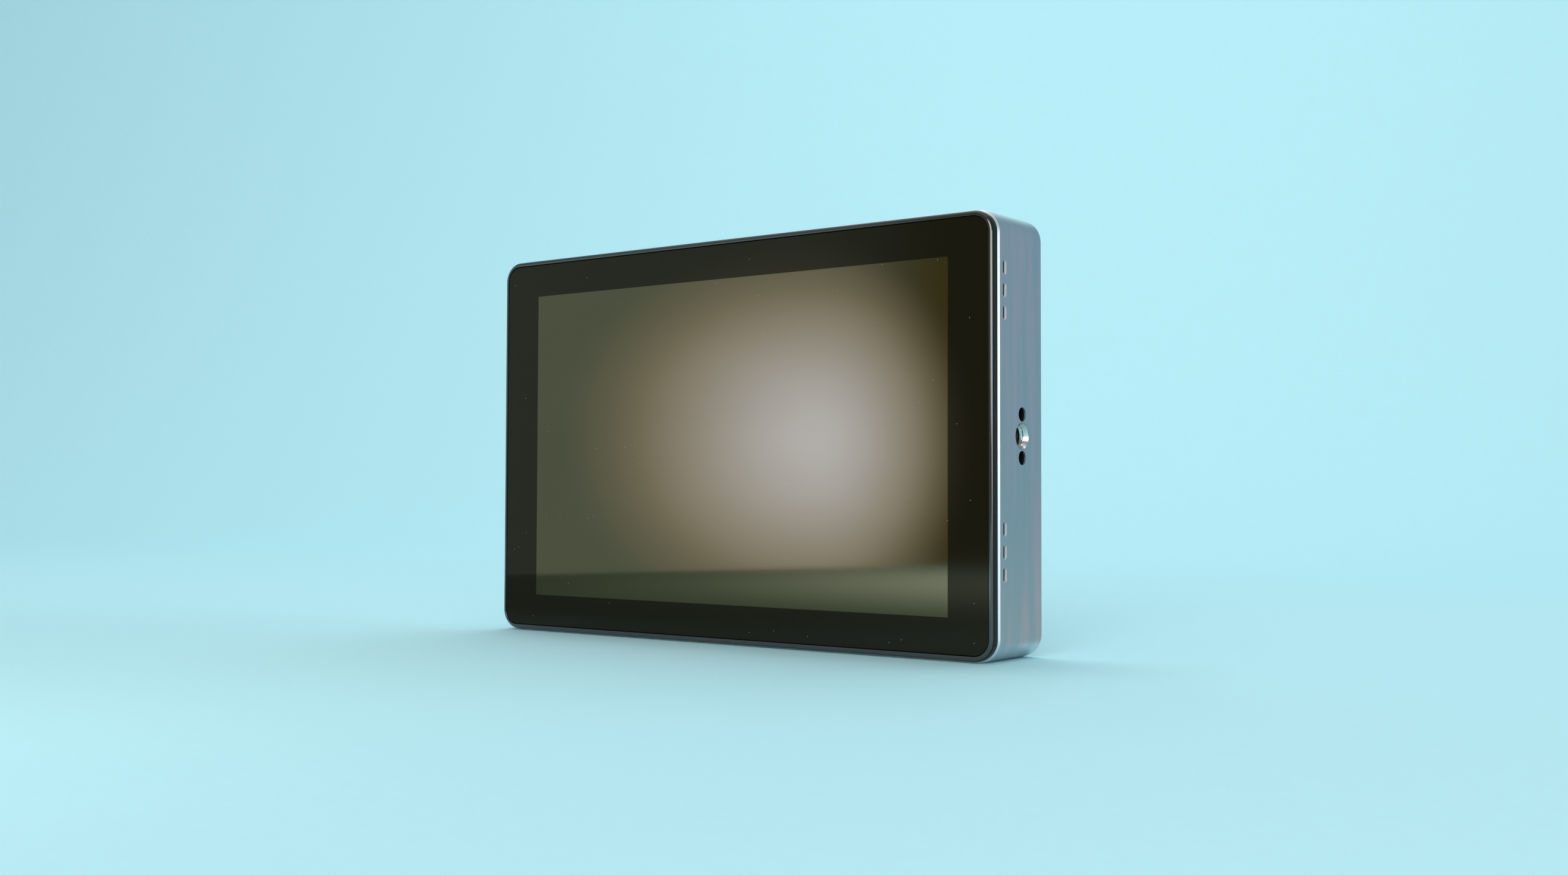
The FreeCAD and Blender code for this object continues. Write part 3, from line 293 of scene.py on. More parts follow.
def turnedSteel(slot):
    # bright at the mouth of the bush, darker, less metallic and rougher from about two millimetres down the thread
    finish = Finish(slot)
    (_, sideDepth), (_, edgeDepth) = edgeDepths(finish)
    dark = finish.ramp(sideDepth.least(edgeDepth), *turned["darkDepths"])
    rings = finish.noise(*turned["rings"])
    smears = finish.noise(*turned["smears"])
    colour = finish.blend(smears, colourOf[slot], shade(colourOf[slot], turned["smearShade"]))
    colour = finish.blend(dark, colour, turned["deepThreadTint"])
    return finish.dress(
        Base_Color=colour, Metallic=1 - turned["deepThreadCover"] * dark,
        Roughness=finish.level(rings, *turned["roughness"]) + dark * turned["deepThreadRoughness"],
        Normal=finish.bump(rings, *turned["ringBump"]))


# Bezel and power button

satin = {
    "haze": (40, 2),
    "hazeShade": 1.7,
    "roughness": (0.17, 0.22),
    "index": 1.25,
    "grain": (6000, 2),
    "grainBump": (0.002 * mm, 0.3),
    "dust": (420, 0.10, 0.02),
    "dustTint": (0.25, 0.26, 0.26),
    "dustCover": 0.5,
    "polishDepths": (0.42 * mm, 0.28 * mm),
    "polishRoughness": 0.08,
    "polishIndex": 1.8,
}


def satinBlack(slot):
    # satin all over, and polished on the lip that stands out in front
    finish = Finish(slot)
    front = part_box("front_bezel")[0].y
    lip = finish.ramp(finish.y, *(front + depth for depth in satin["polishDepths"]))
    grain = finish.noise(*satin["grain"])
    haze = finish.noise(*satin["haze"])
    dust = finish.specks(*satin["dust"])
    colour = finish.blend(haze, colourOf[slot], shade(colourOf[slot], satin["hazeShade"]))
    colour = finish.blend(dust * satin["dustCover"], colour, satin["dustTint"])
    return finish.dress(
        Base_Color=colour, Roughness=finish.level(haze, *satin["roughness"]), IOR=satin["index"],
        Coat_Weight=lip, Coat_Roughness=satin["polishRoughness"], Coat_IOR=satin["polishIndex"],
        Normal=finish.bump(grain, *satin["grainBump"]))


# Cover glass, with the black border and the dark panel that show through it

screen = {
    "width": 150.8 * mm,
    "height": 94.2 * mm,
    "shiftX": 0.6 * mm,
    "dropZ": 0.2 * mm,
    "feather": 0.12 * mm,
    "border": (0.0060, 0.0056, 0.0036),
    "panel": (0.140, 0.118, 0.080),
    "coating": (1.0, 0.85, 0.60),
    "index": 1.36,
    "rowPitch": 0.62 * mm,
    "rowCover": 0.05,
    "rowShade": 1.3,
    "bands": (22, 2, (0.35, 1.0, 1.6)),
    "bandShade": 0.95,
    "panelRoughness": (0.042, 0.058),
    "smears": (18, 3),
    "borderRoughness": (0.035, 0.075),
    "dust": (190, 0.026, 0.22),
    "dustTint": (0.45, 0.46, 0.44),
    "dustCover": 0.55,
    "dustRoughness": 0.3,
}


def printedGlass(slot):
    finish = Finish(slot)
    low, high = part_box("cover_glass")
    across = abs(finish.x - screen["shiftX"])
    upright = abs(finish.z - ((low.z + high.z) / 2 - screen["dropZ"]))
    inWidth = finish.ramp(across, screen["width"] / 2, screen["width"] / 2 - screen["feather"])
    inHeight = finish.ramp(upright, screen["height"] / 2, screen["height"] / 2 - screen["feather"])
    lit = inWidth * inHeight
    rows = finish.wave(finish.z, screen["rowPitch"]) * screen["rowCover"] + screen["rowCover"]
    bands = finish.noise(*screen["bands"])
    smears = finish.noise(*screen["smears"])
    dust = finish.specks(*screen["dust"], finish.flat(finish.x, finish.z))
    panel = finish.blend(finish.level(bands), screen["panel"], shade(screen["panel"], screen["bandShade"]))
    panel = finish.blend(rows, panel, shade(screen["panel"], screen["rowShade"]))
    colour = finish.blend(lit, screen["border"], panel)
    colour = finish.blend(dust * screen["dustCover"], colour, screen["dustTint"])
    rough = finish.level(smears, *screen["borderRoughness"])
    haze = finish.level(bands, *screen["panelRoughness"])
    return finish.dress(
        Base_Color=colour, Roughness=rough + lit * (haze - rough) + dust * screen["dustRoughness"],
        Metallic=lit * (1 - dust), IOR=screen["index"], Specular_Tint=screen["coating"])


# Plastics, metals and sheets behind the front

plastic = {
    "coarse": {"grain": (1 / (0.22 * mm), 2), "bump": (0.02 * mm, 0.6), "roughness": (0.46, 0.60)},
    "smooth": {"grain": (1 / (0.12 * mm), 2), "bump": (0.006 * mm, 0.6), "roughness": (0.30, 0.42)},
    "grainRoughness": 0.1,
    "tone": (26, 3),
    "toneShade": 1.45,
    "dust": (360, 0.07, 0.03),
    "dustTint": (0.22, 0.22, 0.22),
    "dustCover": 0.4,
}


def mouldedPlastic(slot, kind="coarse"):
    finish = Finish(slot)
    skin = plastic[kind]
    grain = finish.noise(*skin["grain"])
    tone = finish.noise(*plastic["tone"])
    dust = finish.specks(*plastic["dust"])
    colour = finish.blend(finish.level(tone), colourOf[slot], shade(colourOf[slot], plastic["toneShade"]))
    colour = finish.blend(dust * plastic["dustCover"], colour, plastic["dustTint"])
    rough = finish.level(tone, *skin["roughness"]) + (grain - 0.5) * plastic["grainRoughness"]
    return finish.dress(Base_Color=colour, Roughness=rough, Normal=finish.bump(grain, *skin["bump"]))


def satinPlastic(slot):
    return mouldedPlastic(slot, "smooth")


metal = {
    "platedRoughness": (0.12, 0.26),
    "rolledRoughness": (0.30, 0.48),
    "smears": (420, 3),
    "smearShade": 0.80,
    "scratches": (900, 2, (1.0, 1.0, 0.12)),
    "scratchSpan": (0.35, 0.65),
    "scratchBump": (0.003 * mm, 0.4),
}


def platedMetal(slot, roughness=metal["platedRoughness"]):
    finish = Finish(slot)
    smears = finish.noise(*metal["smears"])
    scratches = finish.noise(*metal["scratches"])
    tone = finish.blend(finish.level(smears), colourOf[slot], shade(colourOf[slot], metal["smearShade"]))
    return finish.dress(
        Base_Color=tone, Metallic=1.0, Roughness=finish.ramp(scratches, *metal["scratchSpan"], *roughness),
        Normal=finish.bump(scratches, *metal["scratchBump"]))


def rolledMetal(slot):
    return platedMetal(slot, metal["rolledRoughness"])


blacked = {
    "wear": (900, 3),
    "wearBump": (0.006 * mm, 0.5),
    "wornSpan": (0.60, 0.72),
    "wornCover": 0.45,
    "wornTint": (0.22, 0.22, 0.22),
    "metallic": 0.85,
    "roughness": (0.42, 0.28),
}


def blackedMetal(slot):
    finish = Finish(slot)
    wear = finish.noise(*blacked["wear"])
    worn = finish.ramp(wear, *blacked["wornSpan"]) * blacked["wornCover"]
    colour = finish.blend(worn, colourOf[slot], blacked["wornTint"])
    return finish.dress(
        Base_Color=colour, Metallic=blacked["metallic"], Roughness=finish.level(wear, *blacked["roughness"]),
        Normal=finish.bump(wear, *blacked["wearBump"]))


board = {
    "trackScale": 420.0,
    "trackEdge": (0.34, 0.30),
    "trackShade": 2.2,
    "trackBump": (0.02 * mm, 0.5),
    "roughness": 0.32,
}


def solderMask(slot):
    finish = Finish(slot)
    cells = {"Vector": finish.place, "Scale": board["trackScale"]}
    tracks = finish.node("ShaderNodeTexVoronoi", {"distance": "MANHATTAN"}, cells)
    copper = finish.ramp(tracks, *board["trackEdge"])
    colour = finish.blend(copper, colourOf[slot], shade(colourOf[slot], board["trackShade"]))
    return finish.dress(
        Base_Color=colour, Roughness=board["roughness"], Normal=finish.bump(copper, *board["trackBump"]))


sheets = {"fibre": (1400, 3), "fibreBump": (0.02 * mm, 0.6), "shades": (0.8, 1.1), "roughness": (0.55, 0.8)}


def softSheet(slot):
    finish = Finish(slot)
    fibre = finish.noise(*sheets["fibre"])
    colour = finish.blend(fibre, *(shade(colourOf[slot], factor) for factor in sheets["shades"]))
    return finish.dress(
        Base_Color=colour, Roughness=finish.level(fibre, *sheets["roughness"]),
        Normal=finish.bump(fibre, *sheets["fibreBump"]))


finishMakers = {
    "milled_aluminium": milledAluminium, "steel": turnedSteel, "black_bezel": satinBlack,
    "cover_glass": printedGlass, "circuit_board": solderMask, "rear_plastic": mouldedPlastic,
    "plate_plastic": mouldedPlastic, "black_plastic": satinPlastic, "latch_plastic": satinPlastic,
    "button_metal": satinBlack, "black_metal": blackedMetal, "black_screw": blackedMetal,
    "nickel": platedMetal, "gold_contact": platedMetal, "brass": platedMetal, "spring_steel": platedMetal,
    "sheet_steel": rolledMetal, "plain_aluminium": rolledMetal, "screw_steel": rolledMetal,
}
finishes = {slot: finishMakers.get(slot, softSheet)(slot) for slot in colourOf}
print("finishes made:", len(finishes))


# Meshes: the frame's own nodes and the pieces that are added

meshing = {"weld": 0.001 * mm, "splitAngle": math.radians(28), "sharpAngle": math.radians(32)}


def smoothNode(node):
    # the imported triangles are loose, so they are welded and split again at sharp edges
    node.data.shade_smooth()
    weld = node.modifiers.new("weld", "WELD")
    weld.merge_threshold = meshing["weld"]
    split = node.modifiers.new("sharp edges", "EDGE_SPLIT")
    split.split_angle = meshing["splitAngle"]


for name, node in frame["nodes"].items():
    node.data.materials.clear()
    node.data.materials.append(finishes[slotOf[name]])
    smoothNode(node)
print("frame nodes dressed")


def linkMesh(name, mesh, material):
    data = bpy.data.meshes.new(name)
    mesh.to_mesh(data)
    mesh.free()
    data.materials.append(material)
    made = bpy.data.objects.new(name, data)
    bpy.context.scene.collection.objects.link(made)
    return made


def addPiece(name, mesh, body, slot, replaced=()):
    piece = linkMesh(name, mesh, finishes[slot])
    piece.data.shade_smooth()
    piece.data.set_sharp_from_angle(angle=meshing["sharpAngle"])
    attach(piece, body)
    if replaced:
        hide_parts(*replaced)
    return piece


def only(kind, items):
    return [item for item in items if isinstance(item, kind)]


def closeUp(mesh):
    bmesh.ops.remove_doubles(mesh, verts=mesh.verts, dist=meshing["weld"])
    bmesh.ops.recalc_face_normals(mesh, faces=mesh.faces)


def chain(mesh, points, closed=False):
    # a line of edges in the XZ plane from (radius, height) points, ready for a spin about Z
    verts = [mesh.verts.new((radius, 0, height)) for radius, height in points]
    ends = verts[1:] + verts[:1] if closed else verts[1:]
    return verts + [mesh.edges.new(pair) for pair in zip(verts, ends)]


def spinRound(mesh, line, steps):
    bmesh.ops.spin(
        mesh, geom=line, cent=(0, 0, 0), axis=(0, 0, 1), angle=2 * math.pi, steps=steps, use_merge=True)
    closeUp(mesh)


def addBlock(mesh, size, centre):
    block = bmesh.ops.create_cube(mesh, size=1.0)["verts"]
    bmesh.ops.scale(mesh, verts=block, vec=size)
    bmesh.ops.translate(mesh, verts=block, vec=centre)


def aimed(axis, place):
    return Matrix.Translation(place) @ Vector((0, 0, 1)).rotation_difference(axis).to_matrix().to_4x4()


# Tripod bushes with their cut thread

tripodThread = {
    "pitch": 1.27 * mm,
    "minorRadius": 2.55 * mm,
    "majorRadius": 3.12 * mm,
    "mouthRadius": 3.5 * mm,
    "leadSlope": 0.56,  # radius lost per depth in the cone of the mouth
    "leadDepth": 1.2 * mm,
    "ringStep": 0.106 * mm,
    "segments": 96,
    "flat": 0.14,  # share of a tooth that is cut off at crest and root
    "wallMargin": 0.02 * mm,
    "edges": {
        "right_thread_insert": (1, 0, 0), "left_thread_insert": (-1, 0, 0),
        "top_thread_insert": (0, 0, 1), "bottom_thread_insert": (0, 0, -1),
    },
}


def threadRadius(depth, angle):
    if depth < tripodThread["leadDepth"]:
        return tripodThread["minorRadius"]
    turn = (depth / tripodThread["pitch"] + angle / (2 * math.pi)) % 1.0
    tooth = (1 - abs(2 * turn - 1)) * (1 + 2 * tripodThread["flat"]) - tripodThread["flat"]
    rise = tripodThread["majorRadius"] - tripodThread["minorRadius"]
    return tripodThread["minorRadius"] + rise * min(1.0, max(0.0, tooth))


def cutThread(mesh, outer):
    for vert in mesh.verts:
        radius = math.hypot(vert.co.x, vert.co.y)
        if radius < outer - tripodThread["wallMargin"]:
            cone = tripodThread["mouthRadius"] + vert.co.z * tripodThread["leadSlope"]
            wall = threadRadius(-vert.co.z, math.atan2(vert.co.y, vert.co.x))
            factor = max(cone, wall) / radius
            vert.co.x *= factor
            vert.co.y *= factor


def makeThreadInsert(name, way):
    low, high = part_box(name)
    axis = Vector(way)
    size = high - low
    length = abs(size.dot(axis))
    outer = min(side for side, along in zip(size, way) if not along) / 2
    mouth = (low + high) / 2 + axis * length / 2
    rings = round(length / tripodThread["ringStep"])
    bore = [(tripodThread["mouthRadius"], -length * ring / rings) for ring in range(rings + 1)]
    mesh = bmesh.new()
    spinRound(mesh, chain(mesh, bore + [(outer, -length), (outer, 0)], closed=True), tripodThread["segments"])
    cutThread(mesh, outer)
    bmesh.ops.transform(mesh, matrix=aimed(axis, mouth), verts=mesh.verts)
    addPiece(name + "_threaded", mesh, "monitor", "steel", [name])


for name, way in tripodThread["edges"].items():
    makeThreadInsert(name, way)
print("tripod threads cut")


# Front bezel with its rounded lip

frontBezel = {
    "cornerRadius": 5.95 * mm,
    "lipRadius": 1.05 * mm,
    "rimWidth": 1.3 * mm,
    "glassDepth": 1.3 * mm,
    "ledgeWidth": 3.3 * mm,
    "edgeBreak": 0.05 * mm,
    "lipSteps": 12,
    "cornerSteps": 20,
}


def bezelOutline(front, back):
    # (inset from the outer wall, y) round the bezel's section, from the back of the outer wall
    lip, rim, nick = frontBezel["lipRadius"], frontBezel["rimWidth"], frontBezel["edgeBreak"]
    turns = [math.pi / 2 * step / frontBezel["lipSteps"] for step in range(frontBezel["lipSteps"] + 1)]
    arc = [(lip * (1 - math.cos(turn)), front + lip * (1 - math.sin(turn))) for turn in turns]
    inner = rim + frontBezel["ledgeWidth"]
    shelf = front + frontBezel["glassDepth"]
    ledge = [(rim - nick, front), (rim, front + nick), (rim, shelf), (inner, shelf), (inner, back)]
    return [(0, back)] + arc + ledge


def sweepRound(mesh, outline, low, high, radius, steps):
    # the section goes up the right wall and round: four straight runs and four turned corners
    rise, width = high.z - low.z - 2 * radius, high.x - low.x - 2 * radius
    verts = [mesh.verts.new((high.x - inset, y, low.z + radius)) for inset, y in outline]
    line = verts + [mesh.edges.new(pair) for pair in zip(verts, verts[1:] + verts[:1])]
    middles = [(high.x - radius, high.z - radius), (low.x + radius, high.z - radius),
               (low.x + radius, low.z + radius), (high.x - radius, low.z + radius)]
    runs = [(0, 0, rise), (-width, 0, 0), (0, 0, -rise), (width, 0, 0)]
    for (x, z), run in zip(middles, runs):
        grown = bmesh.ops.extrude_edge_only(mesh, edges=only(BMEdge, line))["geom"]
        line = only((BMVert, BMEdge), grown)
        bmesh.ops.translate(mesh, verts=only(BMVert, line), vec=run)
        line = bmesh.ops.spin(
            mesh, geom=line, cent=(x, 0, z), axis=(0, -1, 0), angle=math.pi / 2, steps=steps)["geom_last"]
    closeUp(mesh)


def makeBezel():
    low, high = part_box("front_bezel")
    mesh = bmesh.new()
    outline = bezelOutline(low.y, high.y)
    sweepRound(mesh, outline, low, high, frontBezel["cornerRadius"], frontBezel["cornerSteps"])
    addPiece("front_bezel_lipped", mesh, "monitor", "black_bezel", ["front_bezel"])


makeBezel()
print("bezel swept")


# Socket head screws in the back

backScrews = {
    "headRadius": 2.1 * mm,
    "headHeight": 1.2 * mm,
    "rimBevel": 0.22 * mm,
    "rimCurve": 0.3,  # share of the bevel where its middle point stands in
    "hexRadius": 0.95 * mm,
    "hexDepth": 0.7 * mm,
    "shankRadius": 1.25 * mm,
    "segments": 40,
    "upperReach": 36.0 * mm,
    "lowerReach": 16.0 * mm,
}


def screwOutline(length):
    # (radius, height) from the rim of the head down to the end of the shank
    head, shank = backScrews["headRadius"], backScrews["shankRadius"]
    under, bevel = -backScrews["headHeight"], backScrews["rimBevel"]
    curve = backScrews["rimCurve"] * bevel
    rim = [(head - bevel, 0), (head - curve, -curve), (head, -bevel)]
    return rim + [(head, under), (shank, under), (shank, -length), (0, -length)]


def makeScrew(mesh, length, place):
    screw = bmesh.new()
    spinRound(screw, chain(screw, screwOutline(length)), backScrews["segments"])
    rim = [edge for edge in screw.edges if edge.is_boundary]
    hexagon = bmesh.ops.create_circle(screw, segments=6, radius=backScrews["hexRadius"])["verts"]
    mouth = list({edge for vert in hexagon for edge in vert.link_edges})
    bmesh.ops.triangle_fill(screw, edges=rim + mouth, use_beauty=True, normal=(0, 0, 1))
    floor = only(BMVert, bmesh.ops.extrude_edge_only(screw, edges=mouth)["geom"])
    bmesh.ops.translate(screw, verts=floor, vec=(0, 0, -backScrews["hexDepth"]))
    bmesh.ops.contextual_create(screw, geom=floor)
    bmesh.ops.recalc_face_normals(screw, faces=screw.faces)
    bmesh.ops.transform(screw, matrix=aimed(Vector((0, 1, 0)), place), verts=screw.verts)
    copy = bpy.data.meshes.new("screw")
    screw.to_mesh(copy)
    screw.free()
    mesh.from_mesh(copy)
    bpy.data.meshes.remove(copy)


def makeScrews(name, places):
    low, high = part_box(name)
    mesh = bmesh.new()
    for x, z in places:
        makeScrew(mesh, high.y - low.y, Vector((x, high.y, z)))
    addPiece(name + "_socket_head", mesh, "monitor", "black_screw", [name])


def screwCorners(name):
    low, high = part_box(name)
    inset = backScrews["headRadius"]
    return [(x, z) for x in (low.x + inset, high.x - inset) for z in (low.z + inset, high.z - inset)]


def coverPlaces():
    # one at each corner, and a pair between the corners of the upper and the lower row
    corners = screwCorners("rear_cover_screws")
    rows = {z for x, z in corners}
    reaches = {max(rows): backScrews["upperReach"], min(rows): backScrews["lowerReach"]}
    return corners + [(side * reach, z) for z, reach in reaches.items() for side in (-1, 1)]


makeScrews("rear_cover_screws", coverPlaces())
makeScrews("battery_plate_screws", screwCorners("battery_plate_screws"))
print("screws made")


# Contact strips on the video sockets' tongues

contactStrips = {
    "count": 10,
    "pitch": 1.0 * mm,
    "width": 0.42 * mm,
    "height": 0.06 * mm,
    "length": 5.4 * mm,
    "setback": 0.6 * mm,
    "tongueWidth": 11.2 * mm,
}


def makeContactStrips():
    low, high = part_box("hdmi_tongues")
    size = (contactStrips["width"], contactStrips["height"], contactStrips["length"])
    half = contactStrips["tongueWidth"] / 2
    z = low.z + contactStrips["length"] / 2 + contactStrips["setback"]
    mesh = bmesh.new()
    for middle in (low.x + half, high.x - half):
        for place in range(contactStrips["count"]):
            x = middle + (place - (contactStrips["count"] - 1) / 2) * contactStrips["pitch"]
            for y, way in ((low.y, -1), (high.y, 1)):
                addBlock(mesh, size, (x, y + way * contactStrips["height"] / 2, z))
    addPiece("hdmi_contact_strips", mesh, "monitor", "gold_contact")


makeContactStrips()
print("contact strips made")


# Ridges for the finger on the latch button

latchRidges = {
    "count": 4,
    "width": 0.55 * mm,
    "height": 0.28 * mm,
    "bevel": 0.12 * mm,
    "inset": 1.1 * mm,
    "buttonWidth": 7.5 * mm,
}


def makeLatchRidges():
    low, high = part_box("battery_latch")
    size = (latchRidges["width"], 2 * latchRidges["height"], high.z - low.z - 2 * latchRidges["inset"])
    span = latchRidges["buttonWidth"] - 2 * latchRidges["inset"]
    mesh = bmesh.new()
    for place in range(latchRidges["count"]):
        x = high.x - latchRidges["inset"] - span * place / (latchRidges["count"] - 1)
        addBlock(mesh, size, (x, high.y, (low.z + high.z) / 2))
    bmesh.ops.bevel(
        mesh, geom=mesh.edges[:], offset=latchRidges["bevel"], affect="EDGES", segments=2, profile=0.5,
        material=-1)
    addPiece("latch_grip_ridges", mesh, "battery_latch", "latch_plastic")


makeLatchRidges()
print("latch ridges made")


# Return spring behind the latch, which shortens as the latch goes in; the share of its length that it keeps is
# worked out here but not applied

latchSpring = {"wireRadius": 0.22 * mm, "turns": 4, "stepsPerTurn": 36, "wireSegments": 12}


def windSpring(mesh, reach, length):
    # a ring of wire at the reach from Z, turned and lifted step by step
    wire = latchSpring["wireRadius"]
    steps = latchSpring["turns"] * latchSpring["stepsPerTurn"]
    rise = length - 2 * wire
    section = bmesh.ops.create_circle(mesh, segments=latchSpring["wireSegments"], radius=wire)["verts"]
    upright = Matrix.Rotation(math.pi / 2, 4, "X")
    bmesh.ops.transform(mesh, matrix=Matrix.Translation((reach - wire, 0, wire)) @ upright, verts=section)
    bmesh.ops.spin(
        mesh, geom=section + mesh.edges[:], cent=(0, 0, 0), axis=(0, 0, 1), dvec=(0, 0, rise / steps),
        angle=2 * math.pi * latchSpring["turns"], steps=steps)
    bmesh.ops.holes_fill(mesh, edges=mesh.edges[:], sides=latchSpring["wireSegments"])
    bmesh.ops.recalc_face_normals(mesh, faces=mesh.faces)


def makeLatchSpring():
    low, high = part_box("latch_spring")
    mesh = bmesh.new()
    windSpring(mesh, (high.x - low.x) / 2, high.y - low.y)
    foot = Vector(((low.x + high.x) / 2, low.y, (low.z + high.z) / 2))
    bmesh.ops.transform(mesh, matrix=aimed(Vector((0, 1, 0)), foot), verts=mesh.verts)
    spring = addPiece("latch_spring_coil", mesh, "monitor", "spring_steel", ["latch_spring"])
    press = next(joint for joint in frame["joints"] if joint["name"] == "battery_latch_press")
    seat = press["deforming_nodes"][0]["fixed_end_y_m"]
    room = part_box("battery_latch")[0].y - seat
    keep = 1 - press["range_m"][1] / room
    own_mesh(spring)


makeLatchSpring()
print("latch spring wound")


# Stage, light and camera, in metres

studio = {
    "centreY": -0.9,
    "floorRadius": 1.5,
    "bend": 1.0,
    "bendSteps": 16,
    "wallTop": 2.6,
    "segments": 96,
    "paper": (0.52, 0.82, 0.88),
    "paperShade": 0.94,
    "fibre": (240, 4),
    "fibreCover": 0.5,
    "roughness": 0.85,
    "room": (0.36, 0.33, 0.28),
    "roomSpan": (-0.6, -1.8),
    "skyTint": (0.9, 0.95, 1.0, 1.0),
    "skyStrength": 0.42,
}


def sweepFinish():
    # pale paper behind and below the monitor, turning into a plain room in front of it
    finish = Finish("paper sweep")
    fibre = finish.noise(*studio["fibre"]) * studio["fibreCover"]
    paper = finish.blend(fibre, studio["paper"], shade(studio["paper"], studio["paperShade"]))
    colour = finish.blend(finish.ramp(finish.y, *studio["roomSpan"]), paper, studio["room"])
    return finish.dress(Base_Color=colour, Roughness=studio["roughness"])


def makeSweep():
    radius, bend = studio["floorRadius"], studio["bend"]
    turns = [math.pi / 2 * step / studio["bendSteps"] for step in range(studio["bendSteps"] + 1)]
    curve = [(radius + bend * math.sin(turn), bend * (1 - math.cos(turn))) for turn in turns]
    outline = [(0, 0)] + curve + [(radius + bend, studio["wallTop"])]
    mesh = bmesh.new()
    spinRound(mesh, chain(mesh, outline), studio["segments"])
    bmesh.ops.reverse_faces(mesh, faces=mesh.faces)
    bmesh.ops.translate(mesh, verts=mesh.verts, vec=(0, studio["centreY"], 0))
    sweep = linkMesh("sweep", mesh, sweepFinish())
    sweep.data.shade_smooth()


# a card fades out round its middle; its tints are left and right of the spot, halfway in, and at the spot
lift = 0.5 * mm  # the lying cards clear the paper
cards = {
    # painted reflection: a glowing card that the screen shows as a soft spot of light from the front left
    "glow": {
        "corners": ((-0.42, -0.032, 0), (-0.10, -0.751, 0), (-0.10, -0.751, 0.42), (-0.42, -0.032, 0.42)),
        "middle": (-0.26, -0.39, 0.08), "fade": (0.36, 0.20),
        "spot": (-0.2506, -0.4126, 0.0752), "spread": 0.164, "lean": 1.45, "squeeze": 1.33, "strength": 6.0,
        "tints": ((0.083, 0.111, 0.102), (0.036, 0.034, 0.010), (0.222, 0.221, 0.189), (0.53, 0.60, 0.83)),
    },
    # painted reflection of the floor in front of the monitor, as the glass shows it
    "floor": {
        "corners": ((-0.50, -0.02, lift), (-0.15, -0.64, lift), (0.22, -0.30, lift), (0.20, -0.02, lift)),
        "middle": (-0.14, -0.24, lift), "fade": (0.30, 0.14),
        "spot": (0.0, -0.40, lift), "spread": 0.36, "lean": 1.0, "squeeze": 1.0, "strength": 2.2,
        "tints": ((0.060, 0.100, 0.078), (0.060, 0.100, 0.078), (0.160, 0.245, 0.20), (0.78, 1.0, 1.0)),
    },
    # painted reflection and painted shadow: the monitor's own shadow on the paper behind it to the right, as its
    # right side shows it
    "side": {
        "corners": ((0.41, 0.17, 0), (0.058, 0.361, 0), (0.058, 0.361, 0.45), (0.41, 0.17, 0.45)),
        "middle": (0.234, 0.265, 0.06), "fade": (0.55, 0.40),
        "spot": (0.234, 0.265, 0.06), "spread": 0.36, "lean": 1.0, "squeeze": 1.0, "strength": 0.55,
        "tints": ((0.25, 0.60, 0.72), (0.25, 0.60, 0.72), (0.48, 0.77, 0.93), (0.52, 0.80, 0.95)),
    },
    # painted reflection and painted shadow: the floor in the monitor's shadow to the right, as the lower right
    # side shows it
    "sideFloor": {
        "corners": ((0.41, 0.17, lift), (0.058, 0.361, lift), (0.093, 0.02, lift), (0.095, -0.01, lift)),
        "middle": (0.17, 0.16, lift), "fade": (0.50, 0.30),
        "spot": (0.234, 0.265, lift), "spread": 0.40, "lean": 1.0, "squeeze": 1.0, "strength": 0.5,
        "tints": ((0.60, 0.90, 1.0), (0.60, 0.90, 1.0), (0.70, 1.0, 1.0), (0.80, 1.0, 1.0)),
    },
}
cardStops = {"halfway": 0.51, "inner": 0.77, "turn": (-0.02, 0.10)}


def cardFinish(name, card):
    # brightest at one spot, dimmer all round, and quicker to dim towards the second corner
    finish = Finish(name + " card")
    axes = (finish.x, finish.y, finish.z)
    first, second = (Vector(corner) for corner in card["corners"][:2])
    way = (second - first).normalized()
    x, y, z = (axis - start for axis, start in zip(axes, card["spot"]))
    along = x * way.x + y * way.y
    across = x * way.y - y * way.x
    reach = (along * card["lean"]).most(along * -1.0)
    distance = (reach ** 2.0 + abs(across) ** 2.0 + abs(z * card["squeeze"]) ** 2.0) ** 0.5
    left, right, halfway, inner = card["tints"]
    spread = card["spread"]
    colour = finish.blend(finish.ramp(along, *cardStops["turn"]), left, right)
    colour = finish.blend(finish.ramp(distance, spread, cardStops["halfway"] * spread), colour, halfway)
    colour = finish.blend(finish.ramp(distance, cardStops["inner"] * spread, 0.0), colour, inner)
    x, y, z = (abs(axis - start) for axis, start in zip(axes, card["middle"]))
    radius = (x ** 2.0 + y ** 2.0 + z ** 2.0) ** 0.5
    return finish.dress(
        Base_Color=(0.0, 0.0, 0.0), Roughness=1.0, Emission_Color=colour, Emission_Strength=card["strength"],
        Alpha=finish.ramp(radius, *card["fade"]))


def makeCard(name, card):
    # a glowing card that belongs to the set and shows only in reflections, as a painted reflection
    mesh = bmesh.new()
    bmesh.ops.contextual_create(mesh, geom=[mesh.verts.new(corner) for corner in card["corners"]])
    sheet = linkMesh(name + " card", mesh, cardFinish(name, card))
    sheet.visible_camera = sheet.visible_diffuse = sheet.visible_shadow = False


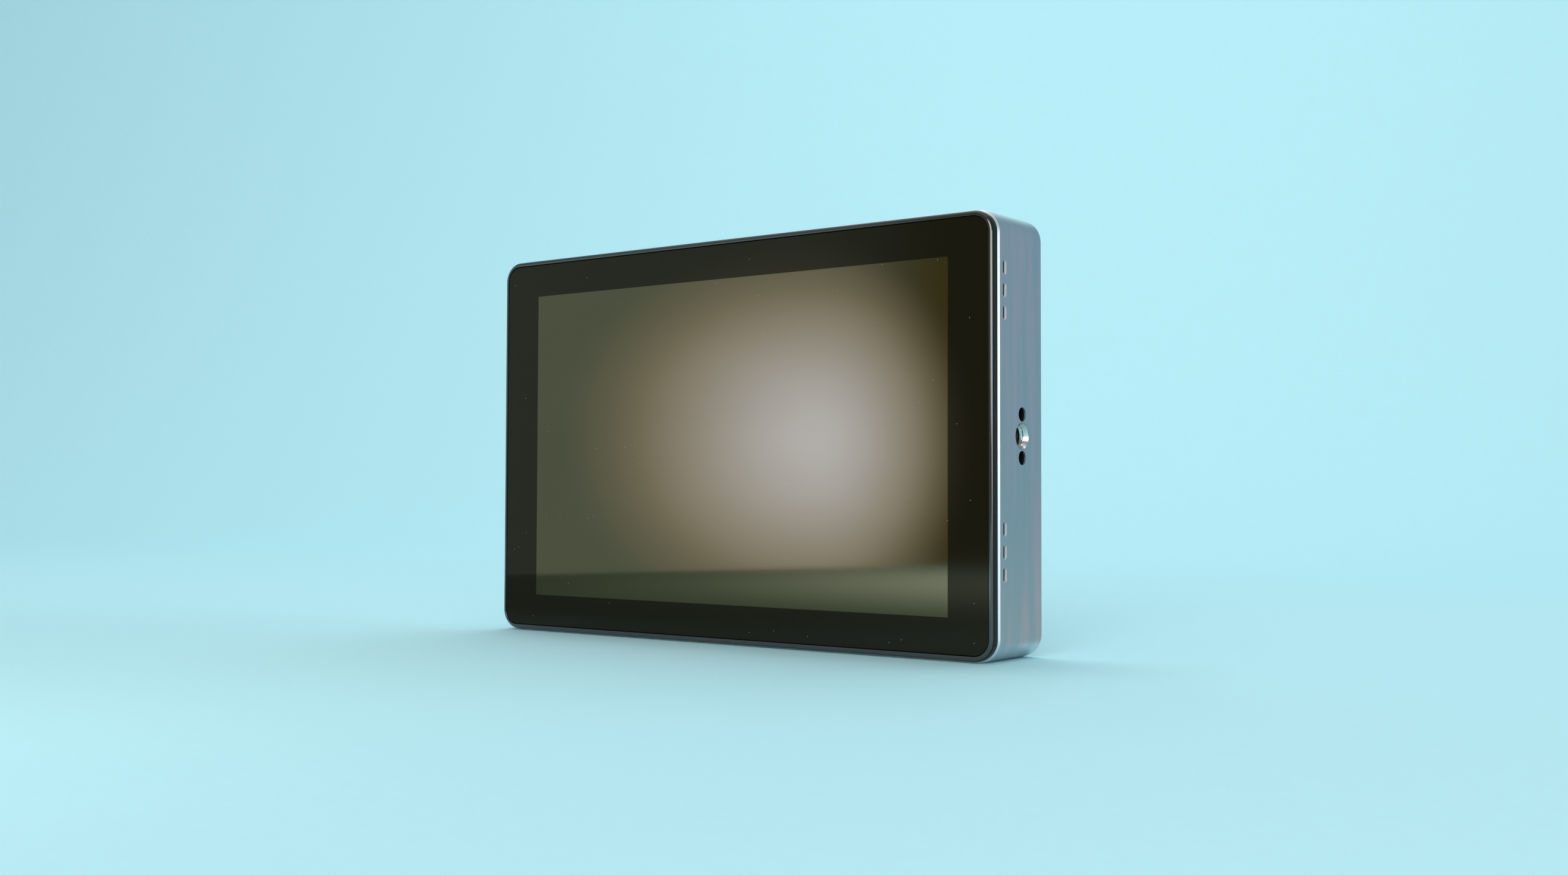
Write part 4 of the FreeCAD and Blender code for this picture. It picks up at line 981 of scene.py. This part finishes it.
lights = {
    "key": {
        "place": (0.55, -1.30, 0.60), "aim": (0, 0, 0.06), "size": 1.05, "power": 11.6,
        "colour": (1.0, 0.99, 0.97), "reflected": True,
    },
    "overhead": {
        "place": (0.1, 0.1, 1.5), "aim": (0, 0, 0.06), "size": 1.3, "power": 1.5,
        "colour": (0.97, 0.99, 1.0), "reflected": True,
    },
    "rearFill": {
        "place": (-0.3, 0.75, 1.7), "aim": (0, 0.1, 0), "size": 1.7, "power": 7.5,
        "colour": (0.97, 0.99, 1.0), "reflected": True,
    },
    "edgeStrip": {
        "place": (1.00, -0.81, 0.19), "aim": (0, 0, 0.06), "size": 0.40, "power": 2.2,
        "colour": (1.0, 1.0, 1.0), "reflected": True,
    },
    "backdrop": {
        "place": (-0.5, 0.2, 1.9), "aim": (-0.7, 1.6, 0.5), "size": 0.9, "power": 10.6,
        "colour": (1.0, 1.0, 1.0), "reflected": False,
    },
}


def makeLight(name, light):
    data = bpy.data.lights.new(name, "AREA")
    data.shape = "DISK"
    data.size = light["size"]
    data.energy = light["power"]
    data.color = light["colour"]
    lamp = bpy.data.objects.new(name, data)
    bpy.context.scene.collection.objects.link(lamp)
    lamp.location = light["place"]
    lamp.rotation_euler = (Vector(light["aim"]) - lamp.location).to_track_quat("-Z", "Y").to_euler()
    lamp.visible_camera = False
    lamp.visible_glossy = light["reflected"]


def makeSky():
    world = bpy.data.worlds.new("room")
    world.use_nodes = True
    background = world.node_tree.nodes["Background"]
    background.inputs["Color"].default_value = studio["skyTint"]
    background.inputs["Strength"].default_value = studio["skyStrength"]
    bpy.context.scene.world = world


photoCamera = {
    "imageWidth": 2576,
    "focalPixels": 2675.4,
    "sensor": 36.0,
    "nearest": 10.0 * mm,
    "eye": (296.3 * mm, -379.2 * mm, 43.8 * mm),
    "turn": 36.874,
    "tilt": 1.936,
    "roll": 0.17,
}


def makeCamera():
    data = bpy.data.cameras.new("photo camera")
    data.sensor_fit = "HORIZONTAL"
    data.sensor_width = photoCamera["sensor"]
    data.lens = photoCamera["sensor"] * photoCamera["focalPixels"] / photoCamera["imageWidth"]
    data.clip_start = photoCamera["nearest"]
    camera = bpy.data.objects.new("photo camera", data)
    bpy.context.scene.collection.objects.link(camera)
    turn, tilt, roll = (math.radians(photoCamera[name]) for name in ("turn", "tilt", "roll"))
    level = Matrix.Rotation(turn, 4, "Z") @ Matrix.Rotation(math.pi / 2 + tilt, 4, "X")
    camera.matrix_world = Matrix.Translation(photoCamera["eye"]) @ level @ Matrix.Rotation(roll, 4, "Z")
    bpy.context.scene.camera = camera


makeSweep()
for name, card in cards.items():
    makeCard(name, card)
for name, light in lights.items():
    makeLight(name, light)
makeSky()
makeCamera()
bpy.context.scene.view_settings.view_transform = "Standard"  # plain tones, as the photograph has them
print("stage, light and camera set")
